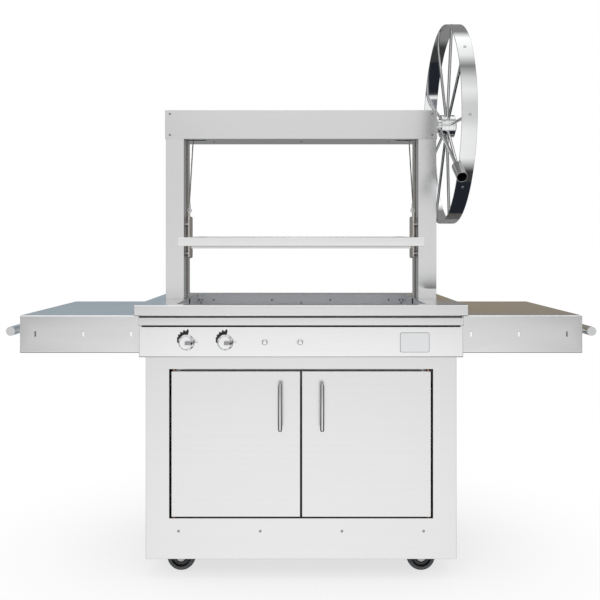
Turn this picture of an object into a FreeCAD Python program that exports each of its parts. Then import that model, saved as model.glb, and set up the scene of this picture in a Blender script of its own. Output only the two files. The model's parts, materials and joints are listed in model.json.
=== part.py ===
"""A wood and charcoal grill on a cabinet, with a rack that a spoked wheel winds up and down.

Millimetres, X to the right, Y to the back, Z up. The origin is on the floor, under the middle of
the whole grill: front to back, that is halfway from the tip of the crank to the back of the wheel.
"""
import FreeCAD
import Part
import math
import os

# Clearances
CUT_OVERRUN = 1.0
RUNNING_GAP = 0.3
SHAFT_FIT = 0.05

# Worktop
DECK_WIDTH = 1140.0
DECK_DEPTH = 641.0
DECK_TOP_Z = 946.0
DECK_RAIL_HEIGHT = 37.5
DECK_SHEET = 3.0
DECK_RETURN = 14.0
DECK_EDGE_RADIUS = 4.0
BAND_EDGE_RADIUS = 3.0
OPENING_SIDE = 135.0
OPENING_DEPTH = 536.0
OPENING_INSET = 54.0
CARRIAGE_NOTCH_WIDTH = 44.0
CARRIAGE_NOTCH_DEPTH = 27.0

# Posts, guide rails and beam
POST_EDGE = 124.0
POST_WIDTH = 69.0
POST_DEPTH = 146.0
POST_WALL = 3.0
POST_SETBACK = 286.0
BEAM_CLEARANCE = 609.0
BEAM_HEIGHT = 110.0
BEAM_SHEET = 2.5
BEAM_SEAT_GAP = 0.5
BEAM_EDGE_RADIUS = 1.5
BEAM_SLOT_WIDTH = 72.0
BEAM_SLOT_DEPTH = 30.0
BEAM_SLOT_INSET = 80.0
RAIL_WALL = 3.0
RAIL_DEPTH = 24.0
RAIL_SLOT = 22.0
RAIL_EDGE_GAP = 0.3

# Shaft, drums and bearings
SHAFT_RADIUS = 12.5
SHAFT_END = 16.0
SHAFT_RISE = 5.5
DRUM_CORE_RADIUS = 27.2
DRUM_FLANGE_RADIUS = 42.0
DRUM_FLANGE = 3.0
DRUM_LENGTH = 38.0
DRUM_INSET = 32.0
CABLE_RADIUS = 2.5
BEARING_FLANGE_RADIUS = 34.0
BEARING_FLANGE = 6.0
BEARING_BARREL_RADIUS = 20.0
BEARING_BARREL = 12.0

# Wheel
WHEEL_RADIUS = 381.0
RIM_WIDTH = 54.0
RIM_THICKNESS = 5.0
RIM_EDGE_RADIUS = 1.0
WHEEL_GAP = 28.0
HUB_RADIUS = 43.0
HUB_GROOVE = 3.0
HUB_GROOVE_INSET = 9.0
HUB_SEAM = 1.2
HUB_NOSE_RADIUS = 24.0
HUB_NOSE = 6.0
SPOKE_COUNT = 9
SPOKE_RADIUS = 5.5
SPOKE_SOCKET = 12.0
SPOKE_FIRST_DEG = 36.5
SPOKE_SCREW_RADIUS = 3.0
SPOKE_HEAD_RADIUS = 5.5
SPOKE_HEAD_HEIGHT = 1.6

# Crank
CRANK_INSET = 7.0
CRANK_DROP_DEG = 29.8
CRANK_ROD_RADIUS = 6.0
CRANK_BOSS_RADIUS = 26.0
CRANK_BOSS = 22.0
CRANK_COLLAR_RADIUS = 10.0
CRANK_COLLAR = 6.0
CRANK_NUT = 7.0
GRIP_START = 389.0
GRIP_LENGTH = 91.0
GRIP_RADIUS = 18.5
GRIP_WALL = 2.0
GRIP_BUSH = 20.0
GRIP_CHAMFER = 1.0

# Rack
RACK_SETBACK = 49.0
RACK_SIDE_ROOM = 16.0
RACK_DEPTH = 555.0
RACK_HEIGHT = 201.5
RACK_BAR_HEIGHT = 30.0
RACK_REAR_RISE = 10.0
RACK_BAR = 30.0
RACK_SIDE_INSET = 4.0
RACK_BAR_RADIUS = 2.0
RACK_SHEET = 2.5
GRATE_COUNT = 32
GRATE_WIDTH = 18.0
GRATE_DEPTH = 10.0
GRATE_SHEET = 1.6
GRATE_END_GAP = 2.0
GRATE_TOP_DROP = 1.5
GRATE_CROSS_BAR = 8.0
GUTTER_INSET = 44.0
GUTTER_DEPTH = 40.0
GUTTER_DROP = 8.5
GUTTER_SHEET = 1.5

# Carriages, rollers and cable ends
CARRIAGE_GAP = 16.0
CARRIAGE_SHEET = 4.0
CARRIAGE_DEPTH = 84.0
CARRIAGE_FOOT = 47.5
CARRIAGE_HEIGHT = 162.0
CARRIAGE_RADIUS = 12.0
CARRIAGE_GUSSET = 4.0
LUG_WIDTH = 18.0
LUG_RISE = 21.0
ROLLER_INSET = 18.0
ROLLER_PITCH = 114.0
ROLLER_WIDTH = 12.0
ROLLER_NECK_RADIUS = 9.0
ROLLER_CHAMFER = 1.5
ROLLER_PIN_RADIUS = 4.0
ROLLER_PIN_HEAD_RADIUS = 7.0
ROLLER_PIN_HEAD = 3.0
EYE_RADIUS = 7.0
EYE_WIRE_RADIUS = 2.2
EYE_HOLE_RADIUS = 2.9
EYE_HOLE_BELOW_TOP = 5.0
FERRULE_RADIUS = 4.5
FERRULE_LENGTH = 20.0
FERRULE_SEAT = 0.2

# Body under the worktop
BAND_DROP = 5.5
BAND_HEIGHT = 27.0
BAND_SIDE_REACH = 11.0
BAND_SETBACK = 4.0
BAND_SHEET = 3.0
HOUSING_SIDE_STEP = 25.0
HOUSING_SETBACK = 17.0
HOUSING_DEPTH = 610.0
HOUSING_FOOT = 3.0
HOUSING_SHEET = 2.0
HOUSING_FLANGE = 12.0
FIREBOX_SHEET = 3.0
FIREBOX_FLANGE = 20.0
FIREBOX_HEIGHT = 256.0
FIREBOX_LEDGE = 12.0
FIRE_GRATE_HEIGHT = 100.0
FIRE_BAR_RADIUS = 6.0
FIRE_BAR_COUNT = 17
FIRE_BEARER = 10.0
FIRE_GRATE_GAP = 4.0
ASH_SLOT_WIDTH = 360.0
ASH_SLOT_DEPTH = 260.0
ASH_PAN_MARGIN = 20.0
ASH_PAN_HEIGHT = 50.0
ASH_PAN_SHEET = 1.5
ASH_PAN_DROP = 4.0
ASH_RUNNER = 12.0

# Burners and gas line
BURNER_RADIUS = 16.0
BURNER_INSET = 185.0
BURNER_HEIGHT = 45.0
BURNER_LENGTH = 470.0
BURNER_WALL = 1.5
BURNER_MOUTH = 1.0
BURNER_PORT_RADIUS = 2.5
BURNER_PORT_COUNT = 8
MANIFOLD_RADIUS = 10.0
MANIFOLD_WALL = 2.0
MANIFOLD_SETBACK = 17.0
MANIFOLD_OVERHANG = 41.0
GAS_TUBE_RADIUS = 4.0
GAS_TUBE_STEP_Z = 14.0
VALVE_RADIUS = 11.0
VALVE_STEM_RADIUS = 4.0

# Control panel, knobs and buttons
PANEL_SIDE_REACH = 6.0
PANEL_HEIGHT = 102.0
PANEL_DROP = 4.0
PANEL_REACH = 10.0
PANEL_SHEET = 3.0
PANEL_EDGE_RADIUS = 4.0
CONTROL_DROP = 50.5
KNOB_INSET = 162.0
KNOB_PITCH = 131.5
BUTTON_OFFSET = 134.2
BUTTON_PITCH = 120.3
KNOB_RADIUS = 27.0
KNOB_BASE_HEIGHT = 9.0
KNOB_CAP_RADIUS = 22.5
KNOB_CAP_HEIGHT = 13.0
KNOB_SCALLOP_RADIUS = 4.0
KNOB_SCALLOPS = 8
KNOB_GRIP_WIDTH = 12.0
KNOB_GRIP_LENGTH = 26.0
KNOB_GRIP_HEIGHT = 20.0
KNOB_STEM_BORE = 12.0
KNOB_GRIP_OFFSET = 12.0
BUTTON_RADIUS = 9.0
BUTTON_STAND = 6.0
BUTTON_LENGTH = 16.0
BUTTON_BEZEL_RADIUS = 13.0
BUTTON_BEZEL_HEIGHT = 2.0

# Cabinet
CABINET_SIDE_STEP = 10.0
CABINET_DEPTH = 596.0
CABINET_SETBACK = 25.0
CABINET_BOTTOM_Z = 70.0
CABINET_SHEET = 2.0
CABINET_FLOOR_Z = 140.0
CABINET_FLOOR_SHEET = 3.0
DOORWAY_SIDE = 81.0
DOORWAY_BOTTOM_Z = 210.0
DOORWAY_HEAD = 43.0
DOORWAY_RETURN = 24.0
DOOR_SIDE_GAP = 6.5
DOOR_TOP_GAP = 7.0
DOOR_BOTTOM_GAP = 4.5
DOOR_MIDDLE_GAP = 5.0
DOOR_DEPTH = 20.0
DOOR_SHEET = 2.0
PIN_INSET = 15.5
PIN_RADIUS = 4.0
PIN_DEPTH = 12.0
PIN_FLANGE_RADIUS = 6.5
HANDLE_X = 71.5
HANDLE_DROP = 34.0
HANDLE_LENGTH = 176.0
HANDLE_RADIUS = 7.5
HANDLE_STAND = 38.0
HANDLE_BOW = 6.0
HANDLE_FOOT_INSET = 22.0
HANDLE_FOOT_RADIUS = 5.0

# Side shelves and towel bars
SHELF_WIDTH = 393.0
SHELF_RISE = 2.5
SHELF_HEIGHT = 129.0
SHELF_DEPTH = 606.0
SHELF_SETBACK = 8.0
SHELF_SHEET = 2.5
SHELF_CORNER_RADIUS = 5.0
SHELF_FOOT_RETURN = 12.0
HOOK_SLOT_WIDTH = 6.0
HOOK_SLOT_HEIGHT = 18.5
HOOK_SLOT_DROP = 64.0
HOOK_SLOT_INSET = 12.0
HOOK_SLOT_PITCH = 163.5
HOOK_SLOT_COUNT = 3
TOWEL_BAR_REACH = 52.0
TOWEL_BAR_DROP = 61.0
TOWEL_BAR_RADIUS = 15.9
TOWEL_BAR_WALL = 2.0
TOWEL_BAR_SETBACK = 60.0
TOWEL_BAR_LENGTH = 500.0
TOWEL_BRACKET = 14.0
TOWEL_BRACKET_INSET = 60.0

# Castors
CASTOR_RADIUS = 50.5
CASTOR_WIDTH = 35.0
CASTOR_SIDE_INSET = 111.0
CASTOR_TRAIL = 22.0
CASTOR_FRONT_INSET = 62.0
CASTOR_REAR_INSET = 79.5
CASTOR_HUB_RADIUS = 11.5
CASTOR_DISC_RADIUS = 31.0
CASTOR_DISC_WIDTH = 22.0
CASTOR_AXLE_RADIUS = 5.0
CASTOR_AXLE_HEAD = 3.0
CASTOR_FORK_SHEET = 3.0
CASTOR_FORK_GAP = 1.0
CASTOR_FORK_WIDTH = 44.0
CASTOR_CROWN_DROP = 28.0
CASTOR_CROWN = 5.0
CASTOR_STEM_RADIUS = 8.0
CASTOR_RACE_RADIUS = 26.0
CASTOR_PLATE = 5.0
CASTOR_PLATE_WIDTH = 90.0

# Visible screws
SCREW_HEAD_RADIUS = 4.5
SCREW_HEAD_HEIGHT = 2.0
SCREW_TOP_SHARE = 0.7
BEAM_SCREW_INSET_X = 19.0
BEAM_SCREW_INSET_Z = 15.0
BEAM_UNDER_SCREW_INSET = 25.0
KICK_SCREW_Z = 166.0
KICK_SCREW_PITCH = 281.3
REAR_BOLT_INSET = 65.0
REAR_BOLT_DROP = 26.5
CORNER_BOLT_INSET = 5.0
CORNER_BOLT_PITCH = 13.0
CORNER_BOLT_DROP = 11.5
CENTRE_BOLT_DROP = 12.5

# Directions
RIGHT = FreeCAD.Vector(1, 0, 0)
BACK = FreeCAD.Vector(0, 1, 0)
UP = FreeCAD.Vector(0, 0, 1)
CENTRE = FreeCAD.Vector(0, 0, 0)

# Places worked out from the sizes
CRANK_ANGLE = math.radians(CRANK_DROP_DEG)
GRIP_END = GRIP_START + GRIP_LENGTH
CRANK_REACH = GRIP_END * math.cos(CRANK_ANGLE) + GRIP_RADIUS * math.sin(CRANK_ANGLE)
SHAFT_Y = (CRANK_REACH - WHEEL_RADIUS) / 2
BEAM_BOTTOM_Z = DECK_TOP_Z + BEAM_CLEARANCE
SHAFT_Z = BEAM_BOTTOM_Z + BEAM_HEIGHT / 2 + SHAFT_RISE
FRONT_Y = SHAFT_Y - POST_SETBACK - POST_DEPTH / 2
POST_INNER_X = DECK_WIDTH / 2 - POST_EDGE
POST_OUTER_X = POST_INNER_X + POST_WIDTH
POST_FRONT_Y = FRONT_Y + POST_SETBACK
POST_BACK_Y = POST_FRONT_Y + POST_DEPTH
POST_TOP_Z = BEAM_BOTTOM_Z + BEAM_HEIGHT - BEAM_SHEET
DECK_UNDER_Z = DECK_TOP_Z - DECK_SHEET
DECK_RAIL_Z = DECK_TOP_Z - DECK_RAIL_HEIGHT
CABLE_Y = SHAFT_Y - DRUM_CORE_RADIUS - RUNNING_GAP - CABLE_RADIUS
BEAM_SLOT_INNER_X = POST_INNER_X - BEAM_SLOT_INSET
BEAM_UNDER_SCREW_X = BEAM_SLOT_INNER_X - BEAM_UNDER_SCREW_INSET
SHAFT_LEFT_REACH = POST_INNER_X + SHAFT_END
DRUM_X = POST_INNER_X - DRUM_INSET
WHEEL_INNER_X = POST_OUTER_X + WHEEL_GAP
CRANK_X = WHEEL_INNER_X - CRANK_INSET
CRANK_BOSS_INNER_X = WHEEL_INNER_X - CRANK_BOSS
HUB_X = WHEEL_INNER_X + RIM_WIDTH / 2
RACK_BOTTOM_Z = DECK_TOP_Z + RACK_HEIGHT
GUTTER_BOTTOM_Z = RACK_BOTTOM_Z - GUTTER_DROP
CARRIAGE_X = POST_INNER_X - CARRIAGE_GAP
CARRIAGE_BOTTOM_Z = RACK_BOTTOM_Z - CARRIAGE_FOOT
CARRIAGE_TOP_Z = CARRIAGE_BOTTOM_Z + CARRIAGE_HEIGHT
LUG_TOP_Z = CARRIAGE_TOP_Z + LUG_RISE
ROLLER_LOW_Z = CARRIAGE_BOTTOM_Z + ROLLER_INSET
ROLLER_HIGH_Z = ROLLER_LOW_Z + ROLLER_PITCH
RACK_WIDTH = (POST_INNER_X - RACK_SIDE_ROOM) * 2
GUTTER_WIDTH = RACK_WIDTH - GUTTER_INSET * 2
OPENING_WIDTH = DECK_WIDTH - OPENING_SIDE * 2
FIREBOX_BOTTOM_Z = DECK_TOP_Z - FIREBOX_HEIGHT
FIRE_GRATE_Z = FIREBOX_BOTTOM_Z + FIRE_GRATE_HEIGHT
BURNER_X = OPENING_WIDTH / 2 - BURNER_INSET
BURNER_Z = FIREBOX_BOTTOM_Z + BURNER_HEIGHT
REAR_BOLT_PITCH = (OPENING_WIDTH - REAR_BOLT_INSET * 2) / 3
REAR_BOLT_Z = DECK_TOP_Z - REAR_BOLT_DROP
HOUSING_WIDTH = DECK_WIDTH - HOUSING_SIDE_STEP * 2
BAND_WIDTH = HOUSING_WIDTH + BAND_SIDE_REACH * 2
BAND_TOP_Z = DECK_RAIL_Z - BAND_DROP
PANEL_WIDTH = HOUSING_WIDTH + PANEL_SIDE_REACH * 2
PANEL_TOP_Z = BAND_TOP_Z - BAND_HEIGHT - PANEL_DROP
CONTROL_Z = PANEL_TOP_Z - CONTROL_DROP
LEFT_KNOB_X = KNOB_INSET - PANEL_WIDTH / 2
RIGHT_KNOB_X = LEFT_KNOB_X + KNOB_PITCH
LEFT_BUTTON_X = RIGHT_KNOB_X + BUTTON_OFFSET
RIGHT_BUTTON_X = LEFT_BUTTON_X + BUTTON_PITCH
MANIFOLD_LEFT_X = LEFT_KNOB_X - MANIFOLD_OVERHANG
MANIFOLD_RIGHT_X = RIGHT_KNOB_X + MANIFOLD_OVERHANG
HOUSING_BOTTOM_Z = PANEL_TOP_Z - PANEL_HEIGHT - HOUSING_FOOT
CABINET_WIDTH = HOUSING_WIDTH - CABINET_SIDE_STEP * 2
DOORWAY_WIDTH = CABINET_WIDTH - DOORWAY_SIDE * 2
DOORWAY_TOP_Z = HOUSING_BOTTOM_Z - DOORWAY_HEAD
HANDLE_TOP_Z = DOORWAY_TOP_Z - DOOR_TOP_GAP - HANDLE_DROP
SHELF_END_X = DECK_WIDTH / 2 + SHELF_WIDTH
SHELF_TOP_Z = DECK_RAIL_Z + SHELF_RISE
HOOK_SLOT_Z = SHELF_TOP_Z - HOOK_SLOT_DROP
HOOK_SLOT_FIRST_X = DECK_WIDTH / 2 + HOOK_SLOT_INSET
TOWEL_BAR_X = SHELF_END_X + TOWEL_BAR_REACH
TOWEL_BAR_Z = SHELF_TOP_Z - TOWEL_BAR_DROP
CASTOR_X = CABINET_WIDTH / 2 - CASTOR_SIDE_INSET
CASTOR_CROWN_Z = CABINET_FLOOR_Z - CASTOR_CROWN_DROP
PANEL_FRONT_Y = FRONT_Y - PANEL_REACH
HOUSING_FRONT_Y = FRONT_Y + HOUSING_SETBACK
CABINET_FRONT_Y = FRONT_Y + CABINET_SETBACK
CRANK_OUTWARD = FreeCAD.Vector(0, -math.cos(CRANK_ANGLE), -math.sin(CRANK_ANGLE))


def block(x0, x1, y0, y1, z0, z1):
    """A box between two corners."""
    return Part.makeBox(x1 - x0, y1 - y0, z1 - z0, FreeCAD.Vector(x0, y0, z0))


def rod(start, axis, radius, length):
    """A round bar from its start along an axis."""
    return Part.makeCylinder(radius, length, start, axis)


def pipe(start, axis, outer, inner, length):
    """A round tube open at both ends."""
    bore = rod(start - axis * CUT_OVERRUN, axis, inner, length + CUT_OVERRUN * 2)
    return rod(start, axis, outer, length).cut(bore)


def turned(start, axis, profile):
    """A solid of revolution: the profile lists (distance along the axis, radius)."""
    side = UP.cross(axis)
    if side.Length < 0.5:
        side = RIGHT
    side.normalize()
    points = [start + axis * along + side * radius for along, radius in profile]
    wire = Part.makePolygon(points + points[:1])
    return Part.Face(wire).revolve(start, axis, 360)


def slab(points, travel):
    """A flat outline pushed along a vector."""
    return Part.Face(Part.makePolygon(points + points[:1])).extrude(travel)


def joined(shapes):
    """One solid fused from several that touch."""
    return shapes[0].multiFuse(shapes[1:]).removeSplitter()


def mirrored(shape):
    """The same piece on the other side of the grill."""
    return shape.mirror(CENTRE, RIGHT)


def softened(shape, radius, picks):
    """Round the edges that a test picks."""
    edges = [edge for edge in shape.Edges if picks(edge)]
    return shape.makeFillet(radius, edges) if edges else shape


def upright_at(edge, y):
    """True for a straight upright edge that stands at this depth."""
    ends = [vertex.Point for vertex in edge.Vertexes]
    if len(ends) < 2:
        return False
    level = abs(ends[0].z - ends[1].z) < SHAFT_FIT
    return not level and all(abs(end.y - y) < SHAFT_FIT for end in ends)


def level_at(edge, y, z):
    """True for a straight edge that runs left to right at this depth and height."""
    ends = [vertex.Point for vertex in edge.Vertexes]
    return len(ends) == 2 and all(
        abs(end.y - y) < SHAFT_FIT and abs(end.z - z) < SHAFT_FIT for end in ends)


def save(name, *solids):
    """Write one node: its solids stay separate."""
    shape = solids[0] if len(solids) == 1 else Part.makeCompound(list(solids))
    shape.exportStep("parts/" + name + ".step")


def post():
    """The right post: a folded tube whose inner side is open for the guide rail."""
    x0, x1, y0, y1 = POST_INNER_X, POST_OUTER_X, POST_FRONT_Y, POST_BACK_Y
    tube = block(x0, x1, y0, y1, DECK_TOP_Z, POST_TOP_Z)
    tube = tube.cut(block(x0 + POST_WALL, x1 - POST_WALL, y0 + POST_WALL, y1 - POST_WALL,
                          DECK_TOP_Z - CUT_OVERRUN, POST_TOP_Z + CUT_OVERRUN))
    half = rail_width() / 2 + RAIL_EDGE_GAP
    window = block(x0 - CUT_OVERRUN, x0 + POST_WALL + CUT_OVERRUN, SHAFT_Y - half, SHAFT_Y + half,
                   DECK_TOP_Z - CUT_OVERRUN, BEAM_BOTTOM_Z)
    passage = rod(FreeCAD.Vector(x0 - CUT_OVERRUN, SHAFT_Y, SHAFT_Z), RIGHT,
                  BEARING_BARREL_RADIUS + RUNNING_GAP, POST_WIDTH + CUT_OVERRUN * 2)
    return tube.cut(window).cut(passage)


def roller_radius():
    """The guide rollers fill the rail but for their running gap."""
    return rail_width() / 2 - RAIL_WALL - RUNNING_GAP


def rail_width():
    """Outside width of the guide rail, from the slot that it leaves for the roller necks."""
    return RAIL_SLOT * 2


def guide_rail():
    """The right guide rail: a channel with two lips, let into the post."""
    x0 = POST_INNER_X
    half = rail_width() / 2
    rail = block(x0, x0 + RAIL_DEPTH, SHAFT_Y - half, SHAFT_Y + half, DECK_TOP_Z, BEAM_BOTTOM_Z)
    rail = rail.cut(block(x0 + RAIL_WALL, x0 + RAIL_DEPTH - RAIL_WALL, SHAFT_Y - half + RAIL_WALL,
                          SHAFT_Y + half - RAIL_WALL, DECK_TOP_Z - CUT_OVERRUN,
                          BEAM_BOTTOM_Z + CUT_OVERRUN))
    return rail.cut(block(x0 - CUT_OVERRUN, x0 + RAIL_WALL + CUT_OVERRUN, SHAFT_Y - RAIL_SLOT / 2,
                          SHAFT_Y + RAIL_SLOT / 2, DECK_TOP_Z - CUT_OVERRUN,
                          BEAM_BOTTOM_Z + CUT_OVERRUN))


def beam_cover():
    """The folded beam that caps both posts and hides the shaft and the drums."""
    x1 = POST_OUTER_X + BEAM_SEAT_GAP + BEAM_SHEET
    y0 = POST_FRONT_Y - BEAM_SEAT_GAP - BEAM_SHEET
    y1 = POST_BACK_Y + BEAM_SEAT_GAP + BEAM_SHEET
    top = BEAM_BOTTOM_Z + BEAM_HEIGHT
    cover = block(-x1, x1, y0, y1, BEAM_BOTTOM_Z, top)
    cover = softened(cover, BEAM_EDGE_RADIUS, lambda edge: level_at(edge, y0, top)
                     or level_at(edge, y1, top) or upright_at(edge, y0) or upright_at(edge, y1))
    x2 = x1 - BEAM_SHEET
    cover = cover.cut(block(-x2, x2, y0 + BEAM_SHEET, y1 - BEAM_SHEET,
                            BEAM_BOTTOM_Z + BEAM_SHEET, top - BEAM_SHEET))
    for side in (-1, 1):
        foot = sorted((side * (POST_INNER_X - BEAM_SEAT_GAP), side * x2))
        cover = cover.cut(block(foot[0], foot[1], y0 + BEAM_SHEET, y1 - BEAM_SHEET,
                                BEAM_BOTTOM_Z - CUT_OVERRUN, BEAM_BOTTOM_Z + BEAM_HEIGHT / 2))
        slot = sorted((side * BEAM_SLOT_INNER_X, side * (BEAM_SLOT_INNER_X + BEAM_SLOT_WIDTH)))
        cover = cover.cut(block(slot[0], slot[1], CABLE_Y - BEAM_SLOT_DEPTH / 2,
                                CABLE_Y + BEAM_SLOT_DEPTH / 2, BEAM_BOTTOM_Z - CUT_OVERRUN,
                                BEAM_BOTTOM_Z + BEAM_SHEET + CUT_OVERRUN))
    hole = rod(FreeCAD.Vector(POST_OUTER_X, SHAFT_Y, SHAFT_Z), RIGHT,
               BEARING_BARREL_RADIUS + RUNNING_GAP, BEAM_SEAT_GAP + BEAM_SHEET * 2)
    return cover.cut(hole)


def bearing(face_x, side):
    """A flanged bearing against a post wall: its barrel reaches through the wall."""
    axis = RIGHT * side
    start = FreeCAD.Vector(face_x - side * BEARING_FLANGE, SHAFT_Y, SHAFT_Z)
    ring = turned(start, axis, [(0, SHAFT_RADIUS + SHAFT_FIT), (0, BEARING_FLANGE_RADIUS),
                                (BEARING_FLANGE, BEARING_FLANGE_RADIUS),
                                (BEARING_FLANGE, BEARING_BARREL_RADIUS),
                                (BEARING_BARREL, BEARING_BARREL_RADIUS),
                                (BEARING_BARREL, SHAFT_RADIUS + SHAFT_FIT)])
    return ring


def drive_shaft():
    """The shaft through both posts, from the left bearing to the wheel's hub."""
    start = FreeCAD.Vector(-SHAFT_LEFT_REACH, SHAFT_Y, SHAFT_Z)
    length = SHAFT_LEFT_REACH + WHEEL_INNER_X + RIM_WIDTH
    return rod(start, RIGHT, SHAFT_RADIUS, length)


def cable_drum(side):
    """A drum with two flanges that winds one lifting cable."""
    start = FreeCAD.Vector(side * DRUM_X - DRUM_LENGTH / 2, SHAFT_Y, SHAFT_Z)
    bore = SHAFT_RADIUS + SHAFT_FIT
    inner = DRUM_FLANGE
    outer = DRUM_LENGTH - DRUM_FLANGE
    return turned(start, RIGHT, [(0, bore), (0, DRUM_FLANGE_RADIUS), (inner, DRUM_FLANGE_RADIUS),
                                 (inner, DRUM_CORE_RADIUS), (outer, DRUM_CORE_RADIUS),
                                 (outer, DRUM_FLANGE_RADIUS), (DRUM_LENGTH, DRUM_FLANGE_RADIUS),
                                 (DRUM_LENGTH, bore)])


def spoke_directions():
    """Unit vectors along the spokes, counted up from straight ahead."""
    for index in range(SPOKE_COUNT):
        angle = math.radians(SPOKE_FIRST_DEG + index * 360 / SPOKE_COUNT)
        yield FreeCAD.Vector(0, -math.cos(angle), math.sin(angle))


def wheel_hub():
    """The turned hub in two halves with a seam, with a socket for each spoke."""
    half = RIM_WIDTH / 2
    seam = HUB_SEAM / 2
    neck = HUB_RADIUS - HUB_GROOVE
    groove = HUB_GROOVE_INSET
    bore = SHAFT_RADIUS + SHAFT_FIT
    start = FreeCAD.Vector(HUB_X, SHAFT_Y, SHAFT_Z)
    hub = turned(start, RIGHT, [
        (-half, bore), (-half, HUB_RADIUS), (-half + groove, HUB_RADIUS),
        (-half + groove, neck), (-half + groove + HUB_GROOVE, neck),
        (-half + groove + HUB_GROOVE, HUB_RADIUS), (-seam, HUB_RADIUS), (0, HUB_RADIUS - seam),
        (seam, HUB_RADIUS), (half - groove - HUB_GROOVE, HUB_RADIUS),
        (half - groove - HUB_GROOVE, neck), (half - groove, neck), (half - groove, HUB_RADIUS),
        (half, HUB_RADIUS), (half + HUB_NOSE, HUB_NOSE_RADIUS),
        (half + HUB_NOSE, SHAFT_RADIUS / 2), (half + RUNNING_GAP, SHAFT_RADIUS / 2),
        (half + RUNNING_GAP, bore)])
    for outward in spoke_directions():
        foot = start + outward * (HUB_RADIUS - SPOKE_SOCKET)
        hub = hub.cut(rod(foot, outward, SPOKE_RADIUS + SHAFT_FIT, SPOKE_SOCKET + CUT_OVERRUN))
    return hub


def rim_inner_radius():
    """Inside radius of the wheel's rim."""
    return WHEEL_RADIUS - RIM_THICKNESS


def wheel_rim():
    """The flat band of the wheel, with rounded edges and a hole over each spoke."""
    start = FreeCAD.Vector(WHEEL_INNER_X, SHAFT_Y, SHAFT_Z)
    inner = rim_inner_radius()
    soft = RIM_EDGE_RADIUS
    rim = turned(start, RIGHT, [
        (soft, inner), (0, inner + soft), (0, WHEEL_RADIUS - soft), (soft, WHEEL_RADIUS),
        (RIM_WIDTH - soft, WHEEL_RADIUS), (RIM_WIDTH, WHEEL_RADIUS - soft),
        (RIM_WIDTH, inner + soft), (RIM_WIDTH - soft, inner)])
    centre = FreeCAD.Vector(HUB_X, SHAFT_Y, SHAFT_Z)
    for outward in spoke_directions():
        foot = centre + outward * (inner - CUT_OVERRUN)
        rim = rim.cut(rod(foot, outward, SPOKE_SCREW_RADIUS + SHAFT_FIT,
                          RIM_THICKNESS + CUT_OVERRUN * 2))
    return rim


def wheel_spokes():
    """Round bars from the hub's sockets to the rim."""
    centre = FreeCAD.Vector(HUB_X, SHAFT_Y, SHAFT_Z)
    start = HUB_RADIUS - SPOKE_SOCKET + SHAFT_FIT
    length = rim_inner_radius() - SHAFT_FIT * 2 - start
    return [rod(centre + outward * start, outward, SPOKE_RADIUS, length)
            for outward in spoke_directions()]


def spoke_screws():
    """A domed screw over each spoke, with its shank through the rim."""
    centre = FreeCAD.Vector(HUB_X, SHAFT_Y, SHAFT_Z)
    inner = rim_inner_radius() - SHAFT_FIT
    seat = WHEEL_RADIUS
    top = seat + SPOKE_HEAD_HEIGHT
    return [turned(centre, outward, [
        (inner, 0), (inner, SPOKE_SCREW_RADIUS), (seat, SPOKE_SCREW_RADIUS),
        (seat, SPOKE_HEAD_RADIUS), (top, SPOKE_SCREW_RADIUS), (top, 0)])
        for outward in spoke_directions()]


def crank_point(distance):
    """A point on the crank's rod, by its distance from the shaft."""
    return FreeCAD.Vector(CRANK_X, SHAFT_Y, SHAFT_Z) + CRANK_OUTWARD * distance


def crank_arm():
    """The crank: a boss on the shaft, a rod, and the collar and nut that hold the grip."""
    boss = pipe(FreeCAD.Vector(CRANK_BOSS_INNER_X, SHAFT_Y, SHAFT_Z), RIGHT, CRANK_BOSS_RADIUS,
                SHAFT_RADIUS + SHAFT_FIT, WHEEL_INNER_X - CRANK_BOSS_INNER_X)
    bush_end = GRIP_START + GRIP_BUSH
    collar = rod(crank_point(GRIP_START - RUNNING_GAP - CRANK_COLLAR), CRANK_OUTWARD,
                 CRANK_COLLAR_RADIUS, CRANK_COLLAR)
    nut = rod(crank_point(bush_end + RUNNING_GAP), CRANK_OUTWARD, CRANK_COLLAR_RADIUS, CRANK_NUT)
    start = SHAFT_RADIUS * 1.5
    bar = rod(crank_point(start), CRANK_OUTWARD, CRANK_ROD_RADIUS,
              bush_end + RUNNING_GAP + CRANK_NUT - start)
    return joined([boss, bar, collar, nut])


def crank_grip():
    """The tube grip that turns on the crank's rod, open at its tip."""
    bore = GRIP_RADIUS - GRIP_WALL
    tip = GRIP_RADIUS - GRIP_CHAMFER
    return turned(crank_point(GRIP_START), CRANK_OUTWARD, [
        (0, CRANK_ROD_RADIUS + SHAFT_FIT), (0, tip), (GRIP_CHAMFER, GRIP_RADIUS),
        (GRIP_LENGTH, GRIP_RADIUS), (GRIP_LENGTH, bore), (GRIP_BUSH, bore),
        (GRIP_BUSH, CRANK_ROD_RADIUS + SHAFT_FIT)])


def rack_front_y():
    """Depth of the rack's front face."""
    return FRONT_Y + RACK_SETBACK


def rack_half_width():
    """Half the width over the rack's side bars."""
    return RACK_WIDTH / 2 - RACK_SIDE_INSET


def rack_top_z(y):
    """Height of the rack's sloping top at a depth."""
    share = (y - rack_front_y()) / RACK_DEPTH
    return RACK_BOTTOM_Z + RACK_BAR_HEIGHT + RACK_REAR_RISE * share


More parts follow.
